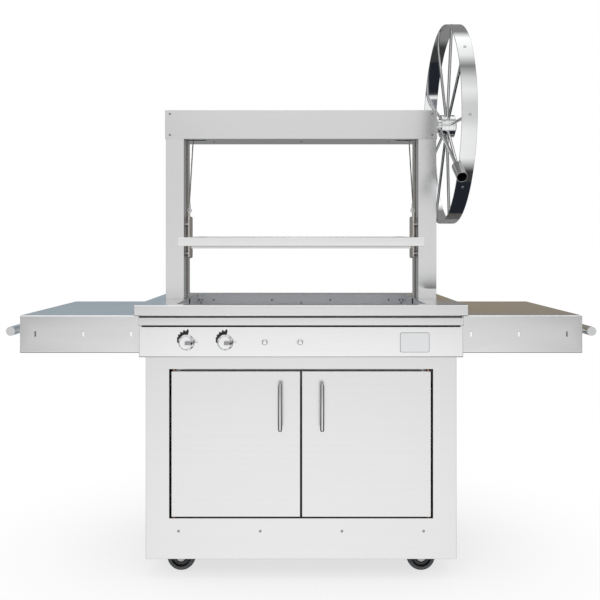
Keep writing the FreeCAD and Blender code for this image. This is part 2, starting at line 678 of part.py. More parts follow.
def rack_frame():
    """The rack's frame: a level front bar, two side bars that rise to the back, a rear bar."""
    y0 = rack_front_y()
    y1 = y0 + RACK_DEPTH
    z0 = RACK_BOTTOM_Z
    front = block(-RACK_WIDTH / 2, RACK_WIDTH / 2, y0, y0 + RACK_BAR, z0, z0 + RACK_BAR_HEIGHT)
    front = softened(front, RACK_BAR_RADIUS, lambda edge: level_at(edge, y0, z0)
                     or level_at(edge, y0, z0 + RACK_BAR_HEIGHT))
    half = rack_half_width()
    outline = [FreeCAD.Vector(half, y0 + RACK_BAR, z0),
               FreeCAD.Vector(half, y1 - RACK_BAR, z0),
               FreeCAD.Vector(half, y1 - RACK_BAR, rack_top_z(y1 - RACK_BAR)),
               FreeCAD.Vector(half, y0 + RACK_BAR, z0 + RACK_BAR_HEIGHT)]
    side = slab(outline, RIGHT * -RACK_BAR)
    rear = block(-half, half, y1 - RACK_BAR, y1, z0, rack_top_z(y1 - RACK_BAR))
    sheet = RACK_SHEET
    low = z0 - CUT_OVERRUN
    top = z0 + RACK_BAR_HEIGHT - sheet
    front = front.cut(block(sheet - RACK_WIDTH / 2, RACK_WIDTH / 2 - sheet, y0 + sheet,
                            y0 + RACK_BAR - sheet, low, top))
    rear = rear.cut(block(sheet - half, half - sheet, y1 - RACK_BAR + sheet, y1 - sheet, low, top))
    side = side.cut(block(half - RACK_BAR + sheet, half - sheet, y0 + RACK_BAR + sheet,
                          y1 - RACK_BAR - sheet, low, top))
    return [front, rear, side, mirrored(side)]


def rack_grates():
    """Open V channels from back to front, on two cross bars, that run fat to the gutter."""
    inner = rack_half_width() - RACK_BAR
    y0 = rack_front_y() + RACK_BAR + GRATE_END_GAP
    y1 = rack_front_y() + RACK_DEPTH - RACK_BAR - GRATE_END_GAP
    fall = RACK_REAR_RISE * (y1 - y0) / RACK_DEPTH
    pitch = inner * 2 / GRATE_COUNT
    half = GRATE_WIDTH / 2
    top = rack_top_z(y0) - GRATE_TOP_DROP
    travel = FreeCAD.Vector(0, y1 - y0, fall)
    pieces = []
    for index in range(GRATE_COUNT):
        x = -inner + pitch * (index + 0.5)
        outline = [(-half, 0), (0, -GRATE_DEPTH), (half, 0), (half - GRATE_SHEET, 0),
                   (0, -GRATE_DEPTH + GRATE_SHEET * 1.5), (-half + GRATE_SHEET, 0)]
        pieces.append(slab([FreeCAD.Vector(x + dx, y0, top + dz) for dx, dz in outline], travel))
    for share in (0.25, 0.75):
        y = y0 + (y1 - y0) * share
        z = top + fall * share - GRATE_DEPTH
        pieces.append(block(-inner, inner, y, y + GRATE_CROSS_BAR,
                            z - GRATE_CROSS_BAR, z + GRATE_SHEET))
    return joined(pieces)


def grease_gutter():
    """The trough under the channels' front ends: a floor strip with four strips welded on it."""
    half = GUTTER_WIDTH / 2
    y0 = rack_front_y() + RACK_BAR
    y1 = y0 + GUTTER_DEPTH
    low = GUTTER_BOTTOM_Z + GUTTER_SHEET
    top = RACK_BOTTOM_Z + RACK_BAR_HEIGHT - GRATE_TOP_DROP - GRATE_DEPTH - GRATE_END_GAP
    return [block(-half, half, y0, y1, GUTTER_BOTTOM_Z, low),
            block(-half, half, y0, y0 + GUTTER_SHEET, low, top),
            block(-half, half, y1 - GUTTER_SHEET, y1, low, top),
            block(-half, -half + GUTTER_SHEET, y0 + GUTTER_SHEET, y1 - GUTTER_SHEET, low, top),
            block(half - GUTTER_SHEET, half, y0 + GUTTER_SHEET, y1 - GUTTER_SHEET, low, top)]


def eye_hole_z():
    """Height of the hole that the cable's eye passes through."""
    return LUG_TOP_Z - EYE_HOLE_BELOW_TOP


def carriage():
    """The right carriage: an upright plate with a lug, a pad on the rack, gussets and pins."""
    x0 = CARRIAGE_X
    x1 = x0 + CARRIAGE_SHEET
    y0 = SHAFT_Y - CARRIAGE_DEPTH / 2
    y1 = SHAFT_Y + CARRIAGE_DEPTH / 2
    plate = block(x0, x1, y0, y1, CARRIAGE_BOTTOM_Z, CARRIAGE_TOP_Z)
    corners = [edge for edge in plate.Edges if abs(edge.BoundBox.XLength - CARRIAGE_SHEET) < SHAFT_FIT
               and edge.BoundBox.YLength < SHAFT_FIT and edge.BoundBox.ZLength < SHAFT_FIT]
    plate = plate.makeFillet(CARRIAGE_RADIUS, corners)
    half = LUG_WIDTH / 2
    lug_z = LUG_TOP_Z - half
    lug = block(x0, x1, CABLE_Y - half, CABLE_Y + half, CARRIAGE_TOP_Z - CARRIAGE_RADIUS * 2, lug_z)
    crown = rod(FreeCAD.Vector(x0, CABLE_Y, lug_z), RIGHT, half, CARRIAGE_SHEET)
    inner = rack_half_width()
    pad = block(inner, x0, y0, y1, RACK_BOTTOM_Z, RACK_BOTTOM_Z + RACK_BAR_HEIGHT)
    shape = joined([plate, lug, crown, pad])
    for y in (y0 + CARRIAGE_RADIUS, y1 - CARRIAGE_RADIUS - CARRIAGE_GUSSET):
        reach = x0 - inner
        low = FreeCAD.Vector(x0, y, RACK_BOTTOM_Z - reach * 3)
        top = RACK_BOTTOM_Z + RACK_BAR_HEIGHT
        outline = [low, FreeCAD.Vector(inner, y, RACK_BOTTOM_Z), FreeCAD.Vector(inner, y, top),
                   FreeCAD.Vector(x0, y, top + reach * 3)]
        shape = joined([shape, slab(outline, BACK * CARRIAGE_GUSSET)])
    shape = shape.cut(rod(FreeCAD.Vector(x0 - CUT_OVERRUN, CABLE_Y, eye_hole_z()), RIGHT,
                          EYE_HOLE_RADIUS, CARRIAGE_SHEET + CUT_OVERRUN * 2))
    return joined([shape] + [roller_pin(z) for z in (ROLLER_LOW_Z, ROLLER_HIGH_Z)])


def roller_end_x():
    """Where a roller ends, a running gap short of the rail's back wall."""
    return POST_INNER_X + RAIL_DEPTH - RAIL_WALL - RUNNING_GAP - ROLLER_PIN_HEAD - RUNNING_GAP


def roller_pin(z):
    """The pin that a roller turns on, with the head that keeps it there."""
    start = CARRIAGE_X + CARRIAGE_SHEET
    head = roller_end_x() + RUNNING_GAP
    pin = rod(FreeCAD.Vector(start, SHAFT_Y, z), RIGHT, ROLLER_PIN_RADIUS, head - start)
    return joined([pin, rod(FreeCAD.Vector(head, SHAFT_Y, z), RIGHT, ROLLER_PIN_HEAD_RADIUS,
                            ROLLER_PIN_HEAD)])


def roller(z):
    """A guide roller: its tread runs inside the rail and its neck comes out of the slot."""
    start = CARRIAGE_X + CARRIAGE_SHEET + RUNNING_GAP
    end = roller_end_x() - start
    bore = ROLLER_PIN_RADIUS + SHAFT_FIT
    tread = roller_radius()
    return turned(FreeCAD.Vector(start, SHAFT_Y, z), RIGHT, [
        (0, bore), (0, ROLLER_NECK_RADIUS), (end - ROLLER_WIDTH, ROLLER_NECK_RADIUS),
        (end - ROLLER_WIDTH, tread - ROLLER_CHAMFER), (end - ROLLER_WIDTH + ROLLER_CHAMFER, tread),
        (end - ROLLER_CHAMFER, tread), (end, tread - ROLLER_CHAMFER), (end, bore)])


def eye_z():
    """Height of the eye's centre, with the bottom of its ring in the lug's hole."""
    return eye_hole_z() + EYE_RADIUS


def cable_foot_z():
    """Height of the cable's lower end, in its ferrule."""
    return eye_z() + EYE_RADIUS + FERRULE_LENGTH


def cable_eye():
    """The ring and ferrule at the right cable's lower end."""
    x = CARRIAGE_X + CARRIAGE_SHEET / 2
    ring = Part.makeTorus(EYE_RADIUS, EYE_WIRE_RADIUS, FreeCAD.Vector(x, CABLE_Y, eye_z()), BACK)
    foot = FreeCAD.Vector(x, CABLE_Y, eye_z() + EYE_RADIUS)
    return joined([ring, rod(foot, UP, FERRULE_RADIUS, FERRULE_LENGTH)])


def lifting_cable():
    """The right lifting cable, from its ferrule to where it leaves the drum."""
    low = FreeCAD.Vector(CARRIAGE_X + CARRIAGE_SHEET / 2, CABLE_Y, cable_foot_z())
    high = FreeCAD.Vector(DRUM_X, CABLE_Y, SHAFT_Z)
    run = high - low
    length = run.Length
    run.normalize()
    return rod(low + UP * FERRULE_SEAT, run, CABLE_RADIUS, length - FERRULE_SEAT)


def opening_sides():
    """The worktop's opening: left, right, front and back."""
    half = OPENING_WIDTH / 2
    front = FRONT_Y + OPENING_INSET
    return -half, half, front, front + OPENING_DEPTH


def carriage_notch(sheet):
    """The slot beside each post that lets a roller neck pass below the worktop."""
    half = CARRIAGE_NOTCH_WIDTH / 2
    right = block(OPENING_WIDTH / 2 - CUT_OVERRUN, OPENING_WIDTH / 2 + sheet + CUT_OVERRUN,
                  SHAFT_Y - half, SHAFT_Y + half, DECK_TOP_Z - CARRIAGE_NOTCH_DEPTH,
                  DECK_TOP_Z + CUT_OVERRUN)
    return right, mirrored(right)


def worktop_deck():
    """The worktop: a folded sheet with a deep edge all round and the firebox opening."""
    half = DECK_WIDTH / 2
    y0 = FRONT_Y
    y1 = FRONT_Y + DECK_DEPTH
    deck = block(-half, half, y0, y1, DECK_RAIL_Z, DECK_TOP_Z)
    deck = softened(deck, DECK_EDGE_RADIUS, lambda edge: level_at(edge, y0, DECK_TOP_Z)
                    or level_at(edge, y0, DECK_RAIL_Z) or upright_at(edge, y0))
    hollow = block(-half + DECK_SHEET, half - DECK_SHEET, y0 + DECK_SHEET, y1 - DECK_SHEET,
                   DECK_RAIL_Z + DECK_SHEET, DECK_UNDER_Z)
    mouth = block(-half + DECK_RETURN, half - DECK_RETURN, y0 + DECK_RETURN, y1 - DECK_RETURN,
                  DECK_RAIL_Z - CUT_OVERRUN, DECK_RAIL_Z + DECK_SHEET + CUT_OVERRUN)
    x0, x1, front, back = opening_sides()
    opening = block(x0, x1, front, back, DECK_UNDER_Z - CUT_OVERRUN, DECK_TOP_Z + CUT_OVERRUN)
    return deck.cut(hollow).cut(mouth).cut(opening)


def frame_strips(x0, x1, y0, y1, width, z0, z1):
    """Four flat strips that lie round a rectangle, outside it."""
    return [block(x0 - width, x1 + width, y0 - width, y0, z0, z1),
            block(x0 - width, x1 + width, y1, y1 + width, z0, z1),
            block(x0 - width, x0, y0, y1, z0, z1),
            block(x1, x1 + width, y0, y1, z0, z1)]


def firebox_floor():
    """The firebox's floor, in four sheets round the ash slot."""
    x0, x1, front, back = opening_sides()
    half = ASH_SLOT_WIDTH / 2
    y0 = (front + back - ASH_SLOT_DEPTH) / 2
    y1 = y0 + ASH_SLOT_DEPTH
    z0 = FIREBOX_BOTTOM_Z
    z1 = z0 + FIREBOX_SHEET
    return [block(x0, x1, front, y0, z0, z1), block(x0, x1, y1, back, z0, z1),
            block(x0, -half, y0, y1, z0, z1), block(half, x1, y0, y1, z0, z1)]


def firebox_shell():
    """The firebox, welded from flat sheets: walls, floor, flange, ledges and ash runners."""
    x0, x1, front, back = opening_sides()
    sheet = FIREBOX_SHEET
    walls = frame_strips(x0, x1, front, back, sheet, FIREBOX_BOTTOM_Z, DECK_UNDER_Z)
    for x in (-BURNER_X, BURNER_X):
        walls[0] = walls[0].cut(rod(FreeCAD.Vector(x, front - sheet - CUT_OVERRUN, BURNER_Z), BACK,
                                    BURNER_RADIUS + SHAFT_FIT, sheet + CUT_OVERRUN * 2))
    flange = frame_strips(x0 - sheet, x1 + sheet, front - sheet, back + sheet,
                          FIREBOX_FLANGE - sheet, DECK_UNDER_Z - sheet, DECK_UNDER_Z)
    notches = carriage_notch(sheet)
    pieces = [piece.cut(notches[0]).cut(notches[1]) for piece in walls + flange]
    ledge_top = FIRE_GRATE_Z - FIRE_BAR_RADIUS - FIRE_BEARER
    ledges = [block(x0, x1, y, y + FIREBOX_LEDGE, ledge_top - sheet, ledge_top)
              for y in (front, back - FIREBOX_LEDGE)]
    return pieces + firebox_floor() + ledges + ash_runners()


def ash_pan_half():
    """Half the outside width and half the outside depth of the ash pan."""
    return (ASH_SLOT_WIDTH / 2 + ASH_PAN_MARGIN, ASH_SLOT_DEPTH / 2 + ASH_PAN_MARGIN)


def ash_pan_top():
    """Height of the ash pan's rim, just under the firebox."""
    return FIREBOX_BOTTOM_Z - ASH_PAN_DROP


def ash_runners():
    """Two angles under the firebox that the ash pan's lip slides on."""
    half, deep = ash_pan_half()
    middle = FRONT_Y + OPENING_INSET + OPENING_DEPTH / 2
    sheet = FIREBOX_SHEET
    inner = half + RUNNING_GAP
    outer = half + ASH_RUNNER
    lip_under = ash_pan_top() - ASH_PAN_SHEET
    pieces = []
    for side in (-1, 1):
        foot = sorted((side * inner, side * (outer + sheet)))
        wall = sorted((side * outer, side * (outer + sheet)))
        pieces.append(block(foot[0], foot[1], middle - deep, middle + deep,
                            lip_under - sheet, lip_under))
        pieces.append(block(wall[0], wall[1], middle - deep, middle + deep,
                            lip_under, FIREBOX_BOTTOM_Z))
    return pieces


def ash_pan():
    """The tray under the firebox: floor, walls, and a lip on each side for the runners."""
    half, deep = ash_pan_half()
    middle = FRONT_Y + OPENING_INSET + OPENING_DEPTH / 2
    top = ash_pan_top()
    sheet = ASH_PAN_SHEET
    lip = half + ASH_RUNNER - RUNNING_GAP
    y0 = middle - deep
    y1 = middle + deep
    low = top - ASH_PAN_HEIGHT
    floor = block(-half, half, y0, y1, low, low + sheet)
    walls = frame_strips(sheet - half, half - sheet, y0 + sheet, y1 - sheet, sheet,
                         low + sheet, top)
    lips = [block(-lip, -half, y0, y1, top - sheet, top), block(half, lip, y0, y1, top - sheet, top)]
    return [floor] + walls + lips


def fire_grate():
    """Round bars from front to back, each welded into two bearers that rest on the firebox's ledges."""
    x0, x1, front, back = opening_sides()
    x0 += FIRE_GRATE_GAP
    x1 -= FIRE_GRATE_GAP
    y0 = front + FIRE_GRATE_GAP
    y1 = back - FIRE_GRATE_GAP
    pitch = (x1 - x0) / FIRE_BAR_COUNT
    bars = [rod(FreeCAD.Vector(x0 + pitch * (index + 0.5), y0, FIRE_GRATE_Z), BACK,
                FIRE_BAR_RADIUS, y1 - y0) for index in range(FIRE_BAR_COUNT)]
    low = FIRE_GRATE_Z - FIRE_BAR_RADIUS - FIRE_BEARER
    bearers = []
    for y in (y0, y1 - FIRE_BEARER):
        bearer = block(x0, x1, y, y + FIRE_BEARER, low, FIRE_GRATE_Z)
        bearers.append(bearer.cut(Part.makeCompound(bars)))
    return bars + bearers


def burner_mouth_y():
    """Depth of the burners' open ends, just in front of the firebox's front wall."""
    return FRONT_Y + OPENING_INSET - FIREBOX_SHEET - BURNER_MOUTH


def burner(x):
    """A tube burner through the firebox's front wall, with a row of ports on each side."""
    front = burner_mouth_y()
    tube = rod(FreeCAD.Vector(x, front, BURNER_Z), BACK, BURNER_RADIUS, BURNER_LENGTH)
    inner = BURNER_RADIUS - BURNER_WALL
    tube = tube.cut(rod(FreeCAD.Vector(x, front - CUT_OVERRUN, BURNER_Z), BACK, inner,
                        BURNER_LENGTH - BURNER_WALL))
    pitch = BURNER_LENGTH / (BURNER_PORT_COUNT + 2)
    for index in range(BURNER_PORT_COUNT):
        y = front + pitch * (index + 2)
        tube = tube.cut(rod(FreeCAD.Vector(x - BURNER_RADIUS * 2, y, BURNER_Z), RIGHT,
                            BURNER_PORT_RADIUS, BURNER_RADIUS * 4))
    foot = block(x - BURNER_RADIUS / 2, x + BURNER_RADIUS / 2, front + BURNER_LENGTH - BURNER_RADIUS,
                 front + BURNER_LENGTH - BURNER_WALL, FIREBOX_BOTTOM_Z + FIREBOX_SHEET,
                 BURNER_Z - inner - BURNER_WALL / 2)
    return joined([tube, foot])


def bent_tube(points, radius):
    """A tube through square corners, each rounded by a ball of its own radius."""
    pieces = []
    for start, end in zip(points, points[1:]):
        run = end - start
        length = run.Length
        run.normalize()
        pieces.append(rod(start, run, radius, length))
        pieces.append(Part.makeSphere(radius, end))
    return joined(pieces[:-1])


def gas_line(valve_x, burner_x, level):
    """A tube from under a valve's tee down and across to its burner's mouth."""
    y = manifold_y()
    drop = FreeCAD.Vector(valve_x, y, CONTROL_Z - MANIFOLD_RADIUS + MANIFOLD_WALL / 2)
    mouth = burner_mouth_y()
    run_z = BURNER_Z + level
    points = [drop, FreeCAD.Vector(valve_x, y, run_z), FreeCAD.Vector(burner_x, y, run_z)]
    if level:
        points.append(FreeCAD.Vector(burner_x, y, BURNER_Z))
    points.append(FreeCAD.Vector(burner_x, mouth + BURNER_RADIUS, BURNER_Z))
    return bent_tube(points, GAS_TUBE_RADIUS)


def manifold_y():
    """Depth of the gas pipe behind the housing's front wall."""
    return HOUSING_FRONT_Y + MANIFOLD_SETBACK


def gas_manifold():
    """The gas pipe behind the panel, with the tubes that run down to the burners."""
    start = FreeCAD.Vector(MANIFOLD_LEFT_X, manifold_y(), CONTROL_Z)
    bar = rod(start, RIGHT, MANIFOLD_RADIUS, MANIFOLD_RIGHT_X - MANIFOLD_LEFT_X)
    lines = [gas_line(LEFT_KNOB_X, -BURNER_X, 0), gas_line(RIGHT_KNOB_X, BURNER_X, GAS_TUBE_STEP_Z)]
    return joined([bar] + lines)


def gas_valve(x):
    """A valve seated on the gas pipe, with the stem that carries its knob."""
    start = PANEL_FRONT_Y + PANEL_SHEET * 2
    end = manifold_y() - GAS_TUBE_RADIUS - RUNNING_GAP
    body = rod(FreeCAD.Vector(x, start, CONTROL_Z), BACK, VALVE_RADIUS, end - start)
    body = body.cut(rod(FreeCAD.Vector(x - VALVE_RADIUS * 2, manifold_y(), CONTROL_Z), RIGHT,
                        MANIFOLD_RADIUS + SHAFT_FIT, VALVE_RADIUS * 4))
    tip = PANEL_FRONT_Y - KNOB_STEM_BORE
    stem = rod(FreeCAD.Vector(x, tip, CONTROL_Z), BACK, VALVE_STEM_RADIUS, start - tip)
    return joined([body, stem])


def housing_back_y():
    """Depth of the housing's back face."""
    return HOUSING_FRONT_Y + HOUSING_DEPTH


def firebox_housing():
    """The sheet housing between worktop and cabinet, with a foot that stands on the cabinet."""
    half = HOUSING_WIDTH / 2
    y0 = HOUSING_FRONT_Y
    y1 = housing_back_y()
    sheet = HOUSING_SHEET
    shell = block(-half, half, y0, y1, HOUSING_BOTTOM_Z, DECK_UNDER_Z)
    shell = shell.cut(block(-half + sheet, half - sheet, y0 + sheet, y1 - sheet,
                            HOUSING_BOTTOM_Z + sheet, DECK_UNDER_Z + CUT_OVERRUN))
    foot = HOUSING_FLANGE
    shell = shell.cut(block(-half + foot, half - foot, y0 + foot, y1 - foot,
                            HOUSING_BOTTOM_Z - CUT_OVERRUN, HOUSING_BOTTOM_Z + sheet + CUT_OVERRUN))
    for x in (LEFT_KNOB_X, RIGHT_KNOB_X):
        shell = shell.cut(rod(FreeCAD.Vector(x, y0 - CUT_OVERRUN, CONTROL_Z), BACK,
                              VALVE_RADIUS + SHAFT_FIT, sheet + CUT_OVERRUN * 2))
    return shell


def firebox_band():
    """The folded band round the housing, between the worktop's edge and the panel."""
    half = BAND_WIDTH / 2
    y0 = FRONT_Y + BAND_SETBACK
    y1 = housing_back_y()
    z0 = BAND_TOP_Z - BAND_HEIGHT
    band = block(-half, half, y0, y1, z0, BAND_TOP_Z)
    band = softened(band, BAND_EDGE_RADIUS, lambda edge: level_at(edge, y0, BAND_TOP_Z)
                    or level_at(edge, y0, z0) or upright_at(edge, y0))
    inner = HOUSING_WIDTH / 2
    band = band.cut(block(-inner, inner, HOUSING_FRONT_Y, y1 + CUT_OVERRUN,
                          z0 - CUT_OVERRUN, BAND_TOP_Z + CUT_OVERRUN))
    sheet = BAND_SHEET
    return band.cut(block(-half + sheet, half - sheet, y0 + sheet, y1 + CUT_OVERRUN,
                          z0 + sheet, BAND_TOP_Z - sheet))


def control_panel():
    """The folded front panel with the holes for valve stems and buttons."""
    half = PANEL_WIDTH / 2
    y0 = PANEL_FRONT_Y
    y1 = HOUSING_FRONT_Y
    z0 = PANEL_TOP_Z - PANEL_HEIGHT
    panel = block(-half, half, y0, y1, z0, PANEL_TOP_Z)
    panel = softened(panel, PANEL_EDGE_RADIUS, lambda edge: level_at(edge, y0, PANEL_TOP_Z)
                     or level_at(edge, y0, z0) or upright_at(edge, y0))
    sheet = PANEL_SHEET
    panel = panel.cut(block(-half + sheet, half - sheet, y0 + sheet, y1 + CUT_OVERRUN,
                            z0 + sheet, PANEL_TOP_Z - sheet))
    for x in (LEFT_KNOB_X, RIGHT_KNOB_X):
        panel = panel.cut(rod(FreeCAD.Vector(x, y0 - CUT_OVERRUN, CONTROL_Z), BACK,
                              VALVE_STEM_RADIUS + RUNNING_GAP, sheet + CUT_OVERRUN * 2))
    for x in (LEFT_BUTTON_X, RIGHT_BUTTON_X):
        socket = rod(FreeCAD.Vector(x, y0 - BUTTON_BEZEL_HEIGHT, CONTROL_Z), BACK,
                     BUTTON_BEZEL_RADIUS, BUTTON_BEZEL_HEIGHT + BUTTON_LENGTH)
        panel = joined([panel, socket]).cut(
            rod(FreeCAD.Vector(x, y0 - BUTTON_BEZEL_HEIGHT - CUT_OVERRUN, CONTROL_Z), BACK,
                BUTTON_RADIUS + RUNNING_GAP, BUTTON_LENGTH + CUT_OVERRUN * 2))
    return panel


def knob(x):
    """A scalloped knob with a raised grip whose pointer stands to the right."""
    back = FreeCAD.Vector(x, PANEL_FRONT_Y - RUNNING_GAP, CONTROL_Z)
    front = BACK * -1
    cap = KNOB_BASE_HEIGHT + KNOB_CAP_HEIGHT
    shape = turned(back, front, [
        (0, 0), (0, KNOB_RADIUS - KNOB_SCALLOP_RADIUS / 2), (KNOB_BASE_HEIGHT / 2, KNOB_RADIUS),
        (KNOB_BASE_HEIGHT, KNOB_RADIUS - KNOB_SCALLOP_RADIUS / 2),
        (KNOB_BASE_HEIGHT, KNOB_CAP_RADIUS), (cap - KNOB_SCALLOP_RADIUS / 2, KNOB_CAP_RADIUS),
        (cap, KNOB_CAP_RADIUS - KNOB_SCALLOP_RADIUS / 2), (cap, 0)])
    for index in range(KNOB_SCALLOPS):
        angle = math.radians(360 / KNOB_SCALLOPS * (index + 0.5))
        place = back + FreeCAD.Vector(math.cos(angle), 0, math.sin(angle)) * KNOB_RADIUS
        shape = shape.cut(rod(place + BACK * CUT_OVERRUN, front, KNOB_SCALLOP_RADIUS,
                              KNOB_BASE_HEIGHT + CUT_OVERRUN))
    y1 = back.y - cap + KNOB_SCALLOP_RADIUS / 2
    middle = x + KNOB_GRIP_OFFSET
    grip = block(middle - KNOB_GRIP_LENGTH / 2, middle + KNOB_GRIP_LENGTH / 2,
                 back.y - cap - KNOB_GRIP_HEIGHT / 2, y1,
                 CONTROL_Z - KNOB_GRIP_WIDTH / 2, CONTROL_Z + KNOB_GRIP_WIDTH / 2)
    bore = rod(back + BACK * CUT_OVERRUN, front, VALVE_STEM_RADIUS + SHAFT_FIT,
               KNOB_STEM_BORE + CUT_OVERRUN)
    return joined([shape, grip]).cut(bore)


def push_button(x):
    """A round button that slides in its socket."""
    start = PANEL_FRONT_Y - BUTTON_BEZEL_HEIGHT - BUTTON_STAND
    back = FreeCAD.Vector(x, start, CONTROL_Z)
    soft = BUTTON_STAND / 4
    return turned(back, BACK, [(0, 0), (0, BUTTON_RADIUS - soft), (soft, BUTTON_RADIUS),
                               (BUTTON_LENGTH, BUTTON_RADIUS), (BUTTON_LENGTH, 0)])


def cabinet_back_y():
    """Depth of the cabinet's back face."""
    return CABINET_FRONT_Y + CABINET_DEPTH


def cabinet_wrap():
    """The folded sheet round both sides and the back of the cabinet."""
    half = CABINET_WIDTH / 2
    y0 = CABINET_FRONT_Y + CABINET_SHEET
    y1 = cabinet_back_y()
    wrap = block(-half, half, y0, y1, CABINET_BOTTOM_Z, HOUSING_BOTTOM_Z)
    inner = half - CABINET_SHEET
    return wrap.cut(block(-inner, inner, y0 - CUT_OVERRUN, y1 - CABINET_SHEET,
                          CABINET_BOTTOM_Z - CUT_OVERRUN, HOUSING_BOTTOM_Z + CUT_OVERRUN))


def front_frame():
    """The cabinet's front sheet, folded back round the doorway."""
    half = CABINET_WIDTH / 2
    y0 = CABINET_FRONT_Y
    sheet = CABINET_SHEET
    plate = block(-half, half, y0, y0 + sheet, CABINET_BOTTOM_Z, HOUSING_BOTTOM_Z)
    door = DOORWAY_WIDTH / 2
    back = y0 + DOORWAY_RETURN
    ring = block(-door - sheet, door + sheet, y0, back,
                 DOORWAY_BOTTOM_Z - sheet, DOORWAY_TOP_Z + sheet)
    frame = joined([plate, ring])
    return frame.cut(block(-door, door, y0 - CUT_OVERRUN, back + CUT_OVERRUN,
                           DOORWAY_BOTTOM_Z, DOORWAY_TOP_Z))


def cabinet_floor():
    """The cabinet's floor sheet, which the castors are bolted under."""
    half = CABINET_WIDTH / 2 - CABINET_SHEET
    return block(-half, half, CABINET_FRONT_Y + CABINET_SHEET, cabinet_back_y() - CABINET_SHEET,
                 CABINET_FLOOR_Z, CABINET_FLOOR_Z + CABINET_FLOOR_SHEET)


def door_pivot():
    """Where the right door turns: across and front to back."""
    return DOORWAY_WIDTH / 2 - PIN_INSET, CABINET_FRONT_Y + DOOR_DEPTH / 2


def door():
    """The right door: a folded pan with a lining sheet, bored for its two pivot pins."""
    x0 = DOOR_MIDDLE_GAP / 2
    x1 = DOORWAY_WIDTH / 2 - DOOR_SIDE_GAP
    y0 = CABINET_FRONT_Y
    y1 = y0 + DOOR_DEPTH
    z0 = DOORWAY_BOTTOM_Z + DOOR_BOTTOM_GAP
    z1 = DOORWAY_TOP_Z - DOOR_TOP_GAP
    sheet = DOOR_SHEET
    leaf = block(x0, x1, y0, y1, z0, z1)
    hollow = block(x0 + sheet, x1 - PIN_INSET * 1.5, y0 + sheet, y1 - sheet,
                   z0 + PIN_DEPTH + sheet, z1 - PIN_DEPTH - sheet)
    leaf = leaf.cut(hollow)
    x, y = door_pivot()
    for z, side in ((z0, 1), (z1, -1)):
        start = FreeCAD.Vector(x, y, z) - UP * side * CUT_OVERRUN
        leaf = leaf.cut(rod(start, UP * side, PIN_RADIUS + SHAFT_FIT, PIN_DEPTH + CUT_OVERRUN * 2))
    return leaf


def pivot_pin(top):
    """A pivot pin with its thrust collar, from the doorway's edge into the right door."""
    x, y = door_pivot()
    if top:
        z, side, gap = DOORWAY_TOP_Z, -1, DOOR_TOP_GAP
    else:
        z, side, gap = DOORWAY_BOTTOM_Z, 1, DOOR_BOTTOM_GAP
    axis = UP * side
    start = FreeCAD.Vector(x, y, z)
    collar = gap - RUNNING_GAP
    return turned(start, axis, [(0, 0), (0, PIN_FLANGE_RADIUS), (collar, PIN_FLANGE_RADIUS),
                                (collar, PIN_RADIUS), (gap + PIN_DEPTH, PIN_RADIUS),
                                (gap + PIN_DEPTH, 0)])


def handle_point(z):
    """A point on the handle's bowed centre line, which stands furthest out at its middle."""
    half = HANDLE_LENGTH / 2 - HANDLE_RADIUS
    share = (z - HANDLE_TOP_Z + HANDLE_LENGTH / 2) / half
    return FreeCAD.Vector(HANDLE_X, CABINET_FRONT_Y - HANDLE_STAND + HANDLE_BOW * share * share, z)


def door_handle():
    """The right door's handle: a bowed round bar with domed ends on two feet."""
    low = HANDLE_TOP_Z - HANDLE_LENGTH
    ends = [handle_point(z) for z in (low + HANDLE_RADIUS, HANDLE_TOP_Z - HANDLE_RADIUS)]
    bow = Part.Arc(ends[0], handle_point(low + HANDLE_LENGTH / 2), ends[1])
    start = FreeCAD.Vector(*bow.tangent(bow.FirstParameter)[0])
    ring = Part.Wire(Part.makeCircle(HANDLE_RADIUS, ends[0], start))
    bar = Part.Wire(bow.toShape()).makePipeShell([ring], True, True)
    domes = [Part.makeSphere(HANDLE_RADIUS, end) for end in ends]
    feet = []
    for z in (low + HANDLE_FOOT_INSET, HANDLE_TOP_Z - HANDLE_FOOT_INSET):
        foot = handle_point(z)
        feet.append(rod(foot, BACK, HANDLE_FOOT_RADIUS, CABINET_FRONT_Y - foot.y))
    return joined([bar] + domes + feet)


def rounded_pan(x0, x1, y0, y1, z0, z1, radius):
    """A box rounded along its front and back edges and round its right end."""
    return softened(block(x0, x1, y0, y1, z0, z1), radius,
                    lambda edge: level_at(edge, y0, z1) or level_at(edge, y1, z1)
                    or level_at(edge, y0, z0) or level_at(edge, y1, z0) or at_end(edge, x1))


